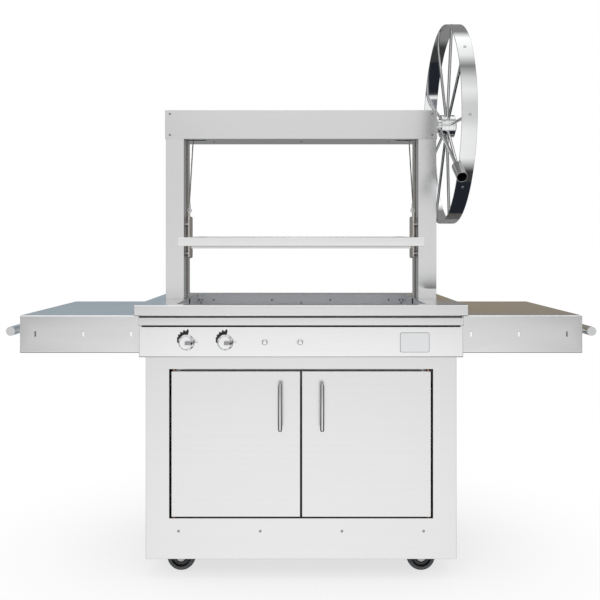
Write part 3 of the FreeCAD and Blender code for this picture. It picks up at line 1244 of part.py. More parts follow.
def side_shelf():
    """The right shelf: a folded pan with hook slots, and the tongue under the worktop's edge."""
    x0 = DECK_WIDTH / 2 + RUNNING_GAP
    x1 = SHELF_END_X
    y0 = FRONT_Y + SHELF_SETBACK
    y1 = y0 + SHELF_DEPTH
    z0 = SHELF_TOP_Z - SHELF_HEIGHT
    sheet = SHELF_SHEET
    pan = rounded_pan(x0, x1, y0, y1, z0, SHELF_TOP_Z, SHELF_CORNER_RADIUS)
    tongue = block(HOUSING_WIDTH / 2, x0 + CUT_OVERRUN, y0, y1, z0, DECK_RAIL_Z - RUNNING_GAP)
    pan = joined([pan, tongue])
    pan = pan.cut(block(HOUSING_WIDTH / 2 + sheet, x0 + sheet * 2, y0 + sheet, y1 - sheet,
                        z0 + sheet, DECK_RAIL_Z - RUNNING_GAP - sheet))
    pan = pan.cut(rounded_pan(x0 + sheet, x1 - sheet, y0 + sheet, y1 - sheet, z0 + sheet,
                              SHELF_TOP_Z - sheet, SHELF_CORNER_RADIUS - sheet))
    lip = SHELF_FOOT_RETURN
    pan = pan.cut(block(HOUSING_WIDTH / 2 + lip, x1 - lip, y0 + lip, y1 - lip,
                        z0 - CUT_OVERRUN, z0 + sheet + CUT_OVERRUN))
    band = BAND_WIDTH / 2 + RUNNING_GAP
    pan = pan.cut(block(HOUSING_WIDTH / 2 - CUT_OVERRUN, band, y0 - CUT_OVERRUN, y1 + CUT_OVERRUN,
                        BAND_TOP_Z - BAND_HEIGHT - RUNNING_GAP, SHELF_TOP_Z))
    pan = pan.cut(block(HOUSING_WIDTH / 2 - CUT_OVERRUN, PANEL_WIDTH / 2 + RUNNING_GAP,
                        y0 - CUT_OVERRUN, HOUSING_FRONT_Y + RUNNING_GAP, z0 - CUT_OVERRUN,
                        PANEL_TOP_Z + RUNNING_GAP))
    half = HOOK_SLOT_WIDTH / 2
    for index in range(HOOK_SLOT_COUNT):
        x = HOOK_SLOT_FIRST_X + HOOK_SLOT_PITCH * index
        pan = pan.cut(block(x - half, x + half, y0 - CUT_OVERRUN, y0 + sheet + CUT_OVERRUN,
                            HOOK_SLOT_Z - HOOK_SLOT_HEIGHT / 2, HOOK_SLOT_Z + HOOK_SLOT_HEIGHT / 2))
    return pan


def at_end(edge, x):
    """True for every edge round the shelf's outer end."""
    ends = [vertex.Point for vertex in edge.Vertexes]
    return len(ends) == 2 and all(abs(end.x - x) < SHAFT_FIT for end in ends)


def towel_bar():
    """The right towel bar: a closed tube on two brackets at the shelf's end."""
    y0 = FRONT_Y + TOWEL_BAR_SETBACK
    start = FreeCAD.Vector(TOWEL_BAR_X, y0, TOWEL_BAR_Z)
    tube = rod(start, BACK, TOWEL_BAR_RADIUS, TOWEL_BAR_LENGTH)
    pieces = [tube]
    half = TOWEL_BRACKET / 2
    for y in (y0 + TOWEL_BRACKET_INSET, y0 + TOWEL_BAR_LENGTH - TOWEL_BRACKET_INSET):
        pieces.append(block(SHELF_END_X, TOWEL_BAR_X, y - half, y + half,
                            TOWEL_BAR_Z - half, TOWEL_BAR_Z + half))
    bar = joined(pieces)
    return bar.cut(rod(start + BACK * TOWEL_BAR_WALL, BACK, TOWEL_BAR_RADIUS - TOWEL_BAR_WALL,
                       TOWEL_BAR_LENGTH - TOWEL_BAR_WALL * 2))


def castor_stems():
    """Each castor's name, stem place and the side that its wheel stands to."""
    front = CABINET_FRONT_Y + CASTOR_FRONT_INSET + CASTOR_WIDTH / 2
    rear = cabinet_back_y() - CASTOR_REAR_INSET
    for row, y in (("front", front), ("rear", rear)):
        for hand, side in (("left", -1), ("right", 1)):
            yield row + "_" + hand, side * (CASTOR_X - CASTOR_TRAIL), y, side


def castor_plate(x, y):
    """A mounting plate with its race, bolted under the cabinet's floor."""
    half = CASTOR_PLATE_WIDTH / 2
    plate = block(x - half, x + half, y - half, y + half,
                  CABINET_FLOOR_Z - CASTOR_PLATE, CABINET_FLOOR_Z)
    low = CASTOR_CROWN_Z + CASTOR_CROWN + RUNNING_GAP
    race = rod(FreeCAD.Vector(x, y, low), UP, CASTOR_RACE_RADIUS, CABINET_FLOOR_Z - CASTOR_PLATE - low)
    bore = rod(FreeCAD.Vector(x, y, low - CUT_OVERRUN), UP, CASTOR_STEM_RADIUS + SHAFT_FIT,
               CABINET_FLOOR_Z - low + CUT_OVERRUN * 2)
    return joined([plate, race]).cut(bore)


def castor_fork(x, y, side):
    """A fork: crown and stem under the plate, two tapering arms and the axle between them."""
    inner = CASTOR_WIDTH / 2 + CASTOR_FORK_GAP
    outer = inner + CASTOR_FORK_SHEET
    axle_x = x + side * CASTOR_TRAIL
    top = CASTOR_CROWN_Z + CASTOR_CROWN
    reach = CASTOR_RACE_RADIUS
    crown = block(x - reach, x + reach, y - outer, y + outer, CASTOR_CROWN_Z, top)
    stem = rod(FreeCAD.Vector(x, y, top - CASTOR_CROWN / 2), UP, CASTOR_STEM_RADIUS,
               CABINET_FLOOR_Z - RUNNING_GAP - top + CASTOR_CROWN / 2)
    end = CASTOR_FORK_WIDTH / 4
    outline = [FreeCAD.Vector(x - reach, y + inner, top), FreeCAD.Vector(x + reach, y + inner, top),
               FreeCAD.Vector(axle_x + end, y + inner, CASTOR_RADIUS),
               FreeCAD.Vector(axle_x - end, y + inner, CASTOR_RADIUS)]
    arm = slab(outline, BACK * CASTOR_FORK_SHEET)
    eye = rod(FreeCAD.Vector(axle_x, y + inner, CASTOR_RADIUS), BACK, end, CASTOR_FORK_SHEET)
    arms = [arm, eye, arm.translated(BACK * -(inner + outer)), eye.translated(BACK * -(inner + outer))]
    head = outer + CASTOR_AXLE_HEAD
    axle = rod(FreeCAD.Vector(axle_x, y - head, CASTOR_RADIUS), BACK, CASTOR_AXLE_RADIUS, head * 2)
    return joined([crown, stem, axle] + arms)


def castor_wheel(x, y, side):
    """A castor's wheel: tread, recessed disc and hub in one turned piece."""
    half = CASTOR_WIDTH / 2
    disc = CASTOR_DISC_WIDTH / 2
    soft = half / 3
    start = FreeCAD.Vector(x + side * CASTOR_TRAIL, y, CASTOR_RADIUS)
    bore = CASTOR_AXLE_RADIUS + SHAFT_FIT
    profile = [(-half, bore), (-half, CASTOR_HUB_RADIUS), (-disc, CASTOR_HUB_RADIUS),
               (-disc, CASTOR_DISC_RADIUS), (-half, CASTOR_DISC_RADIUS),
               (-half, CASTOR_RADIUS - soft), (-half + soft, CASTOR_RADIUS)]
    profile += [(-along, radius) for along, radius in reversed(profile)]
    return turned(start, BACK, profile)


def screw(place, outward):
    """A low domed screw head on a face."""
    top = SCREW_HEAD_RADIUS * SCREW_TOP_SHARE
    return turned(place, outward, [(0, 0), (0, SCREW_HEAD_RADIUS), (SCREW_HEAD_HEIGHT / 2,
                                   SCREW_HEAD_RADIUS), (SCREW_HEAD_HEIGHT, top),
                                   (SCREW_HEAD_HEIGHT, 0)])


def panel_screws():
    """The screws that show on the beam, the kick panel and the firebox's back wall."""
    front = BACK * -1
    heads = []
    beam_y = POST_FRONT_Y - BEAM_SEAT_GAP - BEAM_SHEET
    beam_x = POST_OUTER_X + BEAM_SEAT_GAP + BEAM_SHEET - BEAM_SCREW_INSET_X
    for x in (-beam_x, beam_x):
        for z in (BEAM_BOTTOM_Z + BEAM_SCREW_INSET_Z,
                  BEAM_BOTTOM_Z + BEAM_HEIGHT - BEAM_SCREW_INSET_Z):
            heads.append(screw(FreeCAD.Vector(x, beam_y, z), front))
    for index in (-1, 0, 1):
        heads.append(screw(FreeCAD.Vector(index * BEAM_UNDER_SCREW_X, SHAFT_Y, BEAM_BOTTOM_Z),
                           UP * -1))
    for index in (-1.5, -0.5, 0.5, 1.5):
        heads.append(screw(FreeCAD.Vector(index * KICK_SCREW_PITCH, CABINET_FRONT_Y, KICK_SCREW_Z),
                           front))
        heads.append(screw(FreeCAD.Vector(index * REAR_BOLT_PITCH, opening_sides()[3],
                                          REAR_BOLT_Z), front))
    for side in (-1, 1):
        edge = OPENING_WIDTH / 2 - CORNER_BOLT_INSET
        for step, drop in ((0, 0), (1, 0), (0.5, CORNER_BOLT_DROP)):
            x = side * (edge - step * CORNER_BOLT_PITCH)
            heads.append(screw(FreeCAD.Vector(x, opening_sides()[3], REAR_BOLT_Z - drop), front))
    heads.append(screw(FreeCAD.Vector(0, opening_sides()[3], REAR_BOLT_Z - CENTRE_BOLT_DROP), front))
    return heads


def build():
    """Make every node and write it."""
    os.makedirs("parts", exist_ok=True)
    save("cabinet_wrap", cabinet_wrap())
    save("cabinet_floor", cabinet_floor())
    save("front_frame", front_frame())
    save("firebox_housing", firebox_housing())
    save("firebox_band", firebox_band())
    save("firebox_shell", *firebox_shell())
    save("fire_grate", *fire_grate())
    save("ash_pan", *ash_pan())
    save("burners", burner(-BURNER_X), burner(BURNER_X))
    save("gas_manifold", gas_manifold())
    save("gas_valves", gas_valve(LEFT_KNOB_X), gas_valve(RIGHT_KNOB_X))
    save("worktop_deck", worktop_deck())
    save("control_panel", control_panel())
    save("knob_left", knob(LEFT_KNOB_X))
    save("knob_right", knob(RIGHT_KNOB_X))
    save("button_left", push_button(LEFT_BUTTON_X))
    save("button_right", push_button(RIGHT_BUTTON_X))
    save("guide_rails", guide_rail(), mirrored(guide_rail()))
    save("beam_cover", beam_cover())
    save("shaft_bearings", bearing(POST_INNER_X, 1), bearing(-POST_INNER_X, -1),
         bearing(POST_OUTER_X - POST_WALL, 1))
    save("panel_screws", *panel_screws())
    save("towel_bars", towel_bar(), mirrored(towel_bar()))
    save("drive_shaft", drive_shaft())
    save("cable_drums", cable_drum(-1), cable_drum(1))
    save("wheel_hub", wheel_hub())
    save("wheel_rim", wheel_rim())
    save("wheel_spokes", *wheel_spokes())
    save("spoke_screws", *spoke_screws())
    save("crank_arm", crank_arm())
    save("crank_grip", crank_grip())
    save("rack_frame", *rack_frame())
    save("rack_grates", rack_grates())
    save("grease_gutter", *grease_gutter())
    save("cable_eyes", cable_eye(), mirrored(cable_eye()))
    pins = [pivot_pin(True), pivot_pin(False)]
    save("door_pins", *(pins + [mirrored(pin) for pin in pins]))
    for hand, turn in (("right", Part.Shape.copy), ("left", mirrored)):
        save("post_" + hand, turn(post()))
        save("lifting_cable_" + hand, turn(lifting_cable()))
        save("carriage_" + hand, turn(carriage()))
        save("roller_upper_" + hand, turn(roller(ROLLER_HIGH_Z)))
        save("roller_lower_" + hand, turn(roller(ROLLER_LOW_Z)))
        save("door_" + hand, turn(door()))
        save("door_handle_" + hand, turn(door_handle()))
        save("side_shelf_" + hand, turn(side_shelf()))
    stems = list(castor_stems())
    save("castor_plates", *[castor_plate(x, y) for name, x, y, side in stems])
    for name, x, y, side in stems:
        save("castor_fork_" + name, castor_fork(x, y, side))
        save("castor_wheel_" + name, castor_wheel(x, y, side))


build()
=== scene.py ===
"""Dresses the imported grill: finishes for every sheet and casting, and finer pieces for the parts
that show most. Metres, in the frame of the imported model. The sizes come from its nodes.
"""

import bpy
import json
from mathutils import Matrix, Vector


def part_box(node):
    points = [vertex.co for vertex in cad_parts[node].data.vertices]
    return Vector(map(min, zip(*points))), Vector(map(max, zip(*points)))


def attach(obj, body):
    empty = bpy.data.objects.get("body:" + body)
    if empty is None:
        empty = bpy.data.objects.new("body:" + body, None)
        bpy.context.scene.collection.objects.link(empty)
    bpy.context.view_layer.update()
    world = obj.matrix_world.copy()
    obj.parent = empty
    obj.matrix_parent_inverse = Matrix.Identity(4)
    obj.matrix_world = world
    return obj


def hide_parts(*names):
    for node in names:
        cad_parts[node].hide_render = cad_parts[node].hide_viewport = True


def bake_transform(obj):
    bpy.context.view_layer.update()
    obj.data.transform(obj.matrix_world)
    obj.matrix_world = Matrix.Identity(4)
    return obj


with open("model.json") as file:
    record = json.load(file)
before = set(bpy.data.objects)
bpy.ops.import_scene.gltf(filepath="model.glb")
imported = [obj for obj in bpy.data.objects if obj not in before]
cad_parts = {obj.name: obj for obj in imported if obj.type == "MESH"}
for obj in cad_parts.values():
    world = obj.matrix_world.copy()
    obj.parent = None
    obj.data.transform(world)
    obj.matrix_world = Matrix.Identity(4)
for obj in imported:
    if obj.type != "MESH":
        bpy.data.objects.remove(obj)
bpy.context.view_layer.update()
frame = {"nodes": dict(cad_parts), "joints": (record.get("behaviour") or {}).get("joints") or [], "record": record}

import json
import math

import bmesh
import bpy
from bpy.props import FloatProperty, IntProperty, PointerProperty
from mathutils import Matrix, Vector

bl_info = {
    "name": "Santa Maria grill",
    "version": (1, 0, 0),
    "blender": (4, 5, 0),
    "location": "View3D > Sidebar > Grill",
    "description": "Finishes and fine pieces for a grill with a rack that a spoked wheel lifts",
    "category": "Object",
}

MILLI = 0.001
RIGHT = Vector((1, 0, 0))
BACK = Vector((0, 1, 0))
UP = Vector((0, 0, 1))
FRONT = -BACK

# The photograph's camera, from its horizon, its middle and the width of its picture
PICTURE_WIDTH = 600
FOCAL_PIXELS = 716
MIDDLE_COLUMN = 301.1
HORIZON_ROW = 244.8
SENSOR_WIDTH = 36.0


def low(node):
    """A node's lowest corner."""
    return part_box(node)[0]


def high(node):
    """A node's highest corner."""
    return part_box(node)[1]


def middle(node):
    """The centre of a node's box."""
    return (low(node) + high(node)) / 2


def node_size(node):
    """The size of a node's box."""
    return high(node) - low(node)


def joint(name):
    """The record of one joint."""
    return next(entry for entry in frame["joints"] if entry["name"] == name)


def joint_place(name):
    """Where a joint turns."""
    return Vector(joint(name)["pos_m"])


def linked(name, data):
    """A new object with its data, linked to the scene."""
    obj = bpy.data.objects.new(name, data)
    bpy.context.collection.objects.link(obj)
    return obj


def mesh_object(name, mesh_data, *materials):
    """Turns a bmesh into a linked object at the origin."""
    mesh = bpy.data.meshes.new(name)
    mesh_data.normal_update()
    mesh_data.to_mesh(mesh)
    mesh_data.free()
    for entry in materials:
        mesh.materials.append(entry)
    return linked(name, mesh)


def make_object(name, mesh_data, finish, body, replaced=(), bevel=0):
    """Turns a bmesh into a piece with one finish, or several, that rides on a body."""
    finishes = [finish] if isinstance(finish, str) else finish
    obj = mesh_object(name, mesh_data, *[MATERIALS[entry] for entry in finishes])
    if replaced:
        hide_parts(*replaced)
    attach(obj, body)
    if bevel:
        modifier = obj.modifiers.new("rounded edges", "BEVEL")
        modifier.width = bevel
        modifier.segments = 2
        modifier.limit_method = "ANGLE"
        modifier.angle_limit = math.radians(40)
        modifier.harden_normals = True
    else:
        modifier = obj.modifiers.new("flat faces shade flat", "WEIGHTED_NORMAL")
        modifier.keep_sharp = True
    return obj


def smooth_by_angle(mesh_data, degrees=35):
    """Smooth faces with sharp edges where the faces turn more than an angle."""
    limit = math.radians(degrees)
    for face in mesh_data.faces:
        face.smooth = True
    for edge in mesh_data.edges:
        edge.smooth = len(edge.link_faces) == 2 and edge.calc_face_angle(0) < limit


def raised(data, face, height):
    """Extrudes a face upwards and gives the new one on top."""
    grown = bmesh.ops.extrude_face_region(data, geom=[face])
    top = next(item for item in grown["geom"] if isinstance(item, bmesh.types.BMFace))
    bmesh.ops.translate(data, verts=top.verts, vec=UP * height)
    return top


def turn_to(direction):
    """The rotation that takes up to a direction."""
    return UP.rotation_difference(Vector(direction)).to_matrix().to_4x4()


def spun(profile, place, direction, steps=64):
    """Spins an outline of (along, radius) points round an axis, closed where it meets the axis."""
    data = bmesh.new()
    verts = [data.verts.new((radius, 0, along)) for along, radius in profile]
    edges = [data.edges.new(pair) for pair in zip(verts, verts[1:])]
    if profile[0][1] > 0 or profile[-1][1] > 0:
        edges.append(data.edges.new((verts[-1], verts[0])))
    bmesh.ops.spin(data, geom=verts + edges, cent=(0, 0, 0), axis=UP, angle=math.tau, steps=steps,
                   use_merge=True)
    bmesh.ops.remove_doubles(data, verts=data.verts, dist=MILLI / 50)
    bmesh.ops.recalc_face_normals(data, faces=data.faces)
    smooth_by_angle(data)
    data.transform(Matrix.Translation(place) @ turn_to(direction))
    return data


def stick(start, direction, radius, length, sides=24):
    """A round bar with ball ends."""
    outline = []
    for share in range(7):
        angle = math.radians(share * 15)
        outline.append((-radius * math.cos(angle), radius * math.sin(angle)))
    outline += [(length - along, wide) for along, wide in reversed(outline)]
    return spun(outline, start, direction, sides)


def boxed(lower, upper):
    """A box between two corners."""
    data = bmesh.new()
    bmesh.ops.create_cube(data, size=1)
    size = Vector(upper) - Vector(lower)
    place = (Vector(upper) + Vector(lower)) / 2
    data.transform(Matrix.Translation(place) @ Matrix.Diagonal((*size, 1)))
    return data


def rounded(data, width, segments=2, picks=None):
    """Bevels the sharp edges of a shape, or those that a test picks."""
    edges = [edge for edge in data.edges if picks(edge)] if picks else [
        edge for edge in data.edges if edge.calc_face_angle(0) > math.radians(30)]
    bmesh.ops.bevel(data, geom=edges, offset=width, offset_type="OFFSET", segments=segments,
                    profile=0.5, affect="EDGES", clamp_overlap=True, material=-1)
    smooth_by_angle(data)
    return data


def merged(parts):
    """Joins several bmeshes into one."""
    data = bmesh.new()
    for part in parts:
        mesh = bpy.data.meshes.new("part")
        part.to_mesh(mesh)
        part.free()
        data.from_mesh(mesh)
        bpy.data.meshes.remove(mesh)
    return data


# Their lower edges are rolled into hems
HEMMED = ("side_shelf_left", "side_shelf_right")


def finished_copy(name, body, finish, node, bevel):
    """A merged copy of a node's mesh with small rounded edges, in place of the node."""
    data = bmesh.new()
    data.from_mesh(frame["nodes"][node].data)
    bmesh.ops.remove_doubles(data, verts=data.verts, dist=MILLI / 20)
    if node in HEMMED:
        bmesh.ops.bisect_plane(data, geom=data.verts[:] + data.edges[:] + data.faces[:],
                               plane_co=low(node) + UP * sizes().hem, plane_no=UP, clear_inner=True)
    bmesh.ops.dissolve_limit(data, angle_limit=math.radians(1), verts=data.verts, edges=data.edges,
                             use_dissolve_boundaries=False, delimit={"NORMAL"})
    smooth_by_angle(data)
    return make_object(name, data, finish, body, (node,), bevel)


class GrillStageSettings(bpy.types.PropertyGroup):
    """The studio round the grill."""

    distance: FloatProperty(name="Camera distance", description="Camera to the middle of the grill",
                            default=2.777, min=1, unit="LENGTH")
    eye_height: FloatProperty(name="Camera height", description="Height of the level camera",
                              default=1.152, min=0, unit="LENGTH")
    world_light: FloatProperty(name="Studio light", description="Strength of the soft light all round",
                               default=0.86, min=0)
    key_power: FloatProperty(name="Front lamp", description="Power of the large lamp in front",
                             default=18, min=0, unit="POWER")


class GrillPieceSettings(bpy.types.PropertyGroup):
    """The sizes of the fine pieces."""

    edge: FloatProperty(name="Fold radius", description="Rounding on the sheet's folds and edges",
                        default=0.0009, min=0, unit="LENGTH")
    hem: FloatProperty(name="Hem radius", description="Radius of the rolled lower edges",
                       default=0.0042, min=0.0005, unit="LENGTH")
    gap: FloatProperty(name="Door gap", description="Width by which each door's edges draw in",
                       default=0.0012, min=0, unit="LENGTH")
    strands: IntProperty(name="Cable strands", description="Strands laid round a cable's core",
                         default=6, min=3, max=12)
    lay: FloatProperty(name="Cable lay", description="Length of one full turn of the strands",
                       default=0.024, min=0.005, unit="LENGTH")
    handle_bow: FloatProperty(name="Handle bow", description="How far a handle bows from its ends",
                              default=0.006, min=0, unit="LENGTH")
    screw_recess: FloatProperty(name="Screw recess", description="Depth of the drive in a screw",
                                default=0.0009, min=0, unit="LENGTH")


def sizes():
    """The piece settings of this scene."""
    return bpy.context.scene.grill_pieces


def shader(name):
    """A new material with its node tree and its main shader."""
    material = bpy.data.materials.new(name)
    material.use_nodes = True
    tree = material.node_tree
    return material, tree, tree.nodes["Principled BSDF"]


def fill(tree, node, inputs):
    """Links a node's inputs to outputs, or sets their values."""
    for name, value in inputs.items():
        if isinstance(value, bpy.types.NodeSocket):
            tree.links.new(value, node.inputs[name])
        else:
            node.inputs[name].default_value = value


def add(tree, kind, inputs=None, **settings):
    """A new shader node with its settings and inputs."""
    node = tree.nodes.new("ShaderNode" + kind)
    for name, value in settings.items():
        setattr(node, name, value)
    fill(tree, node, inputs or {})
    return node


def pattern(tree, scale, detail=2.0, stretch=(1, 1, 1)):
    """A noise on the object's own place, stretched along the given directions."""
    place = add(tree, "TexCoord")
    mapping = add(tree, "Mapping", {"Vector": place.outputs["Object"], "Scale": stretch})
    noise = add(tree, "TexNoise", {"Vector": mapping.outputs["Vector"], "Scale": scale,
                                   "Detail": detail, "Roughness": 0.5})
    return noise.outputs["Fac"]


def ramp(tree, value, low_end, high_end):
    """Spreads the middle of a noise between two colours or two grey levels."""
    node = add(tree, "ValToRGB", {"Fac": value})
    for element, place, level in zip(node.color_ramp.elements, NOISE_SPAN, (low_end, high_end)):
        element.position = place
        element.color = (*level, 1) if isinstance(level, tuple) else (level, level, level, 1)
    return node.outputs["Color"]


def relief(tree, main, value, strength, depth):
    """Bumps a surface by a value."""
    node = add(tree, "Bump", {"Strength": strength, "Distance": depth, "Height": value})
    tree.links.new(node.outputs["Normal"], main.inputs["Normal"])


def tint(colour, share):
    """A colour made darker or lighter by a share."""
    return tuple(min(1.0, level * share) for level in colour)


def brushed_metal(name, colour, roughness, grain, metallic=1.0):
    """Sheet with fine brush marks along one axis and a few broader streaks."""
    material, tree, main = shader(name)
    fine, broad = (pattern(tree, 1.0, detail, [long if axis == grain else across
                                               for axis in range(3)])
                   for detail, long, across in ((2.0, GRAIN_LONG, GRAIN_FINE),
                                                (3.0, STREAK_LONG, STREAK_FINE)))
    mix = add(tree, "Mix", {"Factor": 1.0,
                            "A": ramp(tree, fine, tint(colour, 0.975), tint(colour, 1.01)),
                            "B": ramp(tree, broad, 0.985, 1.0)},
              data_type="RGBA", blend_type="MULTIPLY")
    fill(tree, main, {"Metallic": metallic, "Base Color": mix.outputs["Result"],
                      "Roughness": ramp(tree, fine, roughness * 0.9, roughness * 1.1)})
    relief(tree, main, fine, 0.07, MILLI / 50)
    return material


def polished_metal(name, colour, roughness):
    """Mirror-like metal with faint wiping marks."""
    material, tree, main = shader(name)
    marks = pattern(tree, 14.0, 3.0, (1, 1, 2.5))
    fill(tree, main, {"Metallic": 1.0, "Base Color": ramp(tree, marks, tint(colour, 0.97), colour),
                      "Roughness": ramp(tree, marks, roughness * 0.85, roughness * 1.2)})
    relief(tree, main, pattern(tree, 350.0, 1.0), 0.02, MILLI / 60)
    return material


def plain_finish(name, colour, metallic, roughness, speck, depth):
    """Cast, plated, moulded or printed surface with a fine uneven grain."""
    material, tree, main = shader(name)
    grain = pattern(tree, speck, 3.0)
    patches = pattern(tree, speck / 14, 3.0)
    fill(tree, main, {"Metallic": metallic,
                      "Base Color": ramp(tree, patches, tint(colour, 0.85), tint(colour, 1.1)),
                      "Roughness": ramp(tree, grain, roughness * 0.85,
                                        min(1.0, roughness * 1.15))})
    relief(tree, main, grain, 0.3, depth)
    return material


# The part of a noise's range that a ramp spreads out
NOISE_SPAN = (0.3, 0.7)
# How long and how fine the brush marks and the streaks are, in waves to the metre
GRAIN_LONG = 14.0
GRAIN_FINE = 2200.0
STREAK_LONG = 1.3
STREAK_FINE = 90.0
STEEL = (0.86, 0.86, 0.86)
# A paler steel that paints in the bright reflection on the control panel, the rack's front bar, the knobs and the
# buttons: a painted highlight
PALE_HIGHLIGHT = (0.98, 0.98, 0.985)
BRIGHT = (0.84, 0.845, 0.85)
MATERIALS = {}


def make_materials():
    """Every finish of the grill, by name."""
    MATERIALS.update({
        "sheet_level": brushed_metal("sheet_level", STEEL, 0.24, 0),
        "sheet_upright": brushed_metal("sheet_upright", STEEL, 0.24, 2),
        "sheet_deep": brushed_metal("sheet_deep", STEEL, 0.26, 1),
        # The paler sheet: painted highlight on the panel, the rack's bar, the knobs and the buttons
        "sheet_panel": brushed_metal("sheet_panel", PALE_HIGHLIGHT, 0.22, 0),
        "carriage": brushed_metal("carriage", (0.80, 0.74, 0.67), 0.30, 2),
        # Paler, half-diffuse steel on the rounded folds on top: a painted highlight along the folds
        "fold_painted_highlight": brushed_metal("fold_painted_highlight", (0.93, 0.94, 0.95), 0.26, 0, 0.5),
        "hem": polished_metal("hem", (0.90, 0.90, 0.88), 0.06),
        "polished": polished_metal("polished", BRIGHT, 0.075),
        "turned": polished_metal("turned", (0.66, 0.67, 0.69), 0.22),
        "firebox": brushed_metal("firebox", (0.94, 0.95, 0.98), 0.42, 0, 0.72),
        "bronze": plain_finish("bronze", (0.62, 0.36, 0.22), 1.0, 0.3, 1500.0, MILLI / 30),
        "zinc": plain_finish("zinc", (0.50, 0.51, 0.53), 1.0, 0.36, 700.0, MILLI / 20),
        "cable": plain_finish("cable", (0.46, 0.45, 0.43), 1.0, 0.34, 2500.0, MILLI / 40),
        "tyre": plain_finish("tyre", (0.105, 0.11, 0.12), 0.0, 0.62, 1600.0, MILLI / 15),
        "hub": plain_finish("hub", (0.62, 0.62, 0.58), 0.2, 0.4, 900.0, MILLI / 20),
        # Darker steel for the screw heads: painted shade standing in for the shade in and round their recesses;
        # the knobs' pointer bars take it too
        "screw": polished_metal("screw", (0.40, 0.40, 0.42), 0.3),
        "plastic": plain_finish("plastic", (0.055, 0.058, 0.062), 0.0, 0.5, 1400.0, MILLI / 20),
        # Near-black: the castor discs' own black, and also the painted shade inside the crank grip's bore
        "disc_and_bore_shade": plain_finish("disc_and_bore_shade", (0.012, 0.012, 0.014), 0.0, 0.45, 1200.0, MILLI / 20),
        "grip": polished_metal("grip", (0.62, 0.62, 0.63), 0.2),
        "plate": polished_metal("plate", (0.86, 0.87, 0.88), 0.16),
        # Near-black: the printed marks and dot, and also the painted shade of the knobs' shadows and of the dark
        # strips in the seams and door gaps
        "print": plain_finish("print", (0.012, 0.012, 0.013), 0.0, 0.5, 2000.0, MILLI / 60),
    })


# The sheet pieces: the finish of their faces, and of the faces that look sideways
SHEETS = {
    "worktop_deck": ("sheet_level", "sheet_deep"),
    "side_shelf_left": ("sheet_level", "sheet_deep"),
    "side_shelf_right": ("sheet_level", "sheet_deep"),
    "cabinet_wrap": ("sheet_level", "sheet_upright"),
    "front_frame": ("sheet_level", "sheet_upright"),
    "firebox_housing": ("sheet_level", "sheet_deep"),
    "firebox_band": ("sheet_level", "sheet_deep"),
    # The panel and the rack's bar take the paler sheet of the painted highlight
    "control_panel": ("sheet_panel", "sheet_deep"),
    "door_left": ("sheet_level", "sheet_upright"),
    "door_right": ("sheet_level", "sheet_upright"),
    "post_left": ("sheet_upright", "sheet_upright"),
    "post_right": ("sheet_upright", "sheet_upright"),
    "beam_cover": ("sheet_level", "sheet_deep"),
    "rack_frame": ("sheet_panel", "sheet_deep"),
    "carriage_left": ("carriage", "carriage"),
    "carriage_right": ("carriage", "carriage"),
}
FINE_SHEETS = {
    "rack_grates": ("sheet_deep", "sheet_deep"),
    "grease_gutter": ("sheet_level", "sheet_deep"),
    "guide_rails": ("carriage", "carriage"),
    "cabinet_floor": ("sheet_level", "sheet_deep"),
    "ash_pan": ("sheet_level", "sheet_deep"),
    "firebox_shell": ("firebox", "firebox"),
    "fire_grate": ("firebox", "firebox"),
    "towel_bars": ("polished", "polished"),
    "door_pins": ("bronze", "bronze"),
}


def body_of_node(node):
    """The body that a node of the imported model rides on."""
    bodies = frame["record"]["behaviour"]["bodies"]
    return next(name for name, nodes in bodies.items() if node in nodes)


# How far a face's normal runs along an axis where it counts as flat, as sideways, and as folded
FLAT = 0.997
SIDEWAYS = 0.7
FOLDED = 0.08


def face_kind(normal):
    """The finish of a sheet's face: flat, sideways, a rounded fold on top, or one underneath."""
    across, back, up = normal
    if back > 0 or max(abs(across), abs(up), -back) > FLAT:
        return 1 if abs(across) > SIDEWAYS else 0
    if abs(across) > abs(up):
        return 2 if min(abs(across), -back) > FOLDED else 1
    return 2 if up > 0 else 3


def open_gap(obj, node):
    """Draws a door's edges in a little, so that the gap round it reads as a dark line."""
    lower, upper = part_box(node)
    for vert in obj.data.vertices:
        for axis in (0, 2):
            if vert.co[axis] - lower[axis] < MILLI / 5:
                vert.co[axis] += sizes().gap
            elif upper[axis] - vert.co[axis] < MILLI / 5:
                vert.co[axis] -= sizes().gap


def dressed(node, face, side, bevel):
    """A finished copy of a node, whose sideways faces have their own grain."""
    obj = finished_copy(node + "_finished", body_of_node(node), face,
                        node, bevel)
    if node.startswith("door_"):
        open_gap(obj, node)
        obj.modifiers[0].width = sizes().edge * 2
    # Rounded folds on top take the paler fold finish, a painted highlight; folds underneath take the polished hem
    # finish
    for finish in (side, "fold_painted_highlight", "hem"):
        obj.data.materials.append(MATERIALS[finish])
    for polygon in obj.data.polygons:
        polygon.material_index = face_kind(polygon.normal) if bevel == sizes().edge else 0
    return obj


class GRILL_OT_sheets(bpy.types.Operator):
    """Folded sheets with rounded folds and brushed along their grain"""

    bl_idname = "grill.sheets"
    bl_label = "Sheets"

    def execute(self, context):
        for node, (face, side) in SHEETS.items():
            dressed(node, face, side, sizes().edge)
        for node, (face, side) in FINE_SHEETS.items():
            dressed(node, face, side, sizes().edge / 3)
        return {"FINISHED"}


# Nodes that keep their own shape
PLAIN_NODES = {
    "burners": "firebox", "gas_manifold": "zinc", "gas_valves": "bronze", "shaft_bearings": "bronze",
    "drive_shaft": "turned", "castor_plates": "zinc",
}


class GRILL_OT_plain(bpy.types.Operator):
    """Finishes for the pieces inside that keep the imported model's own shape"""

    bl_idname = "grill.plain"
    bl_label = "Inner pieces"

    def execute(self, context):
        for node, finish in PLAIN_NODES.items():
            mesh = frame["nodes"][node].data
            mesh.materials.clear()
            mesh.materials.append(MATERIALS[finish])
        return {"FINISHED"}


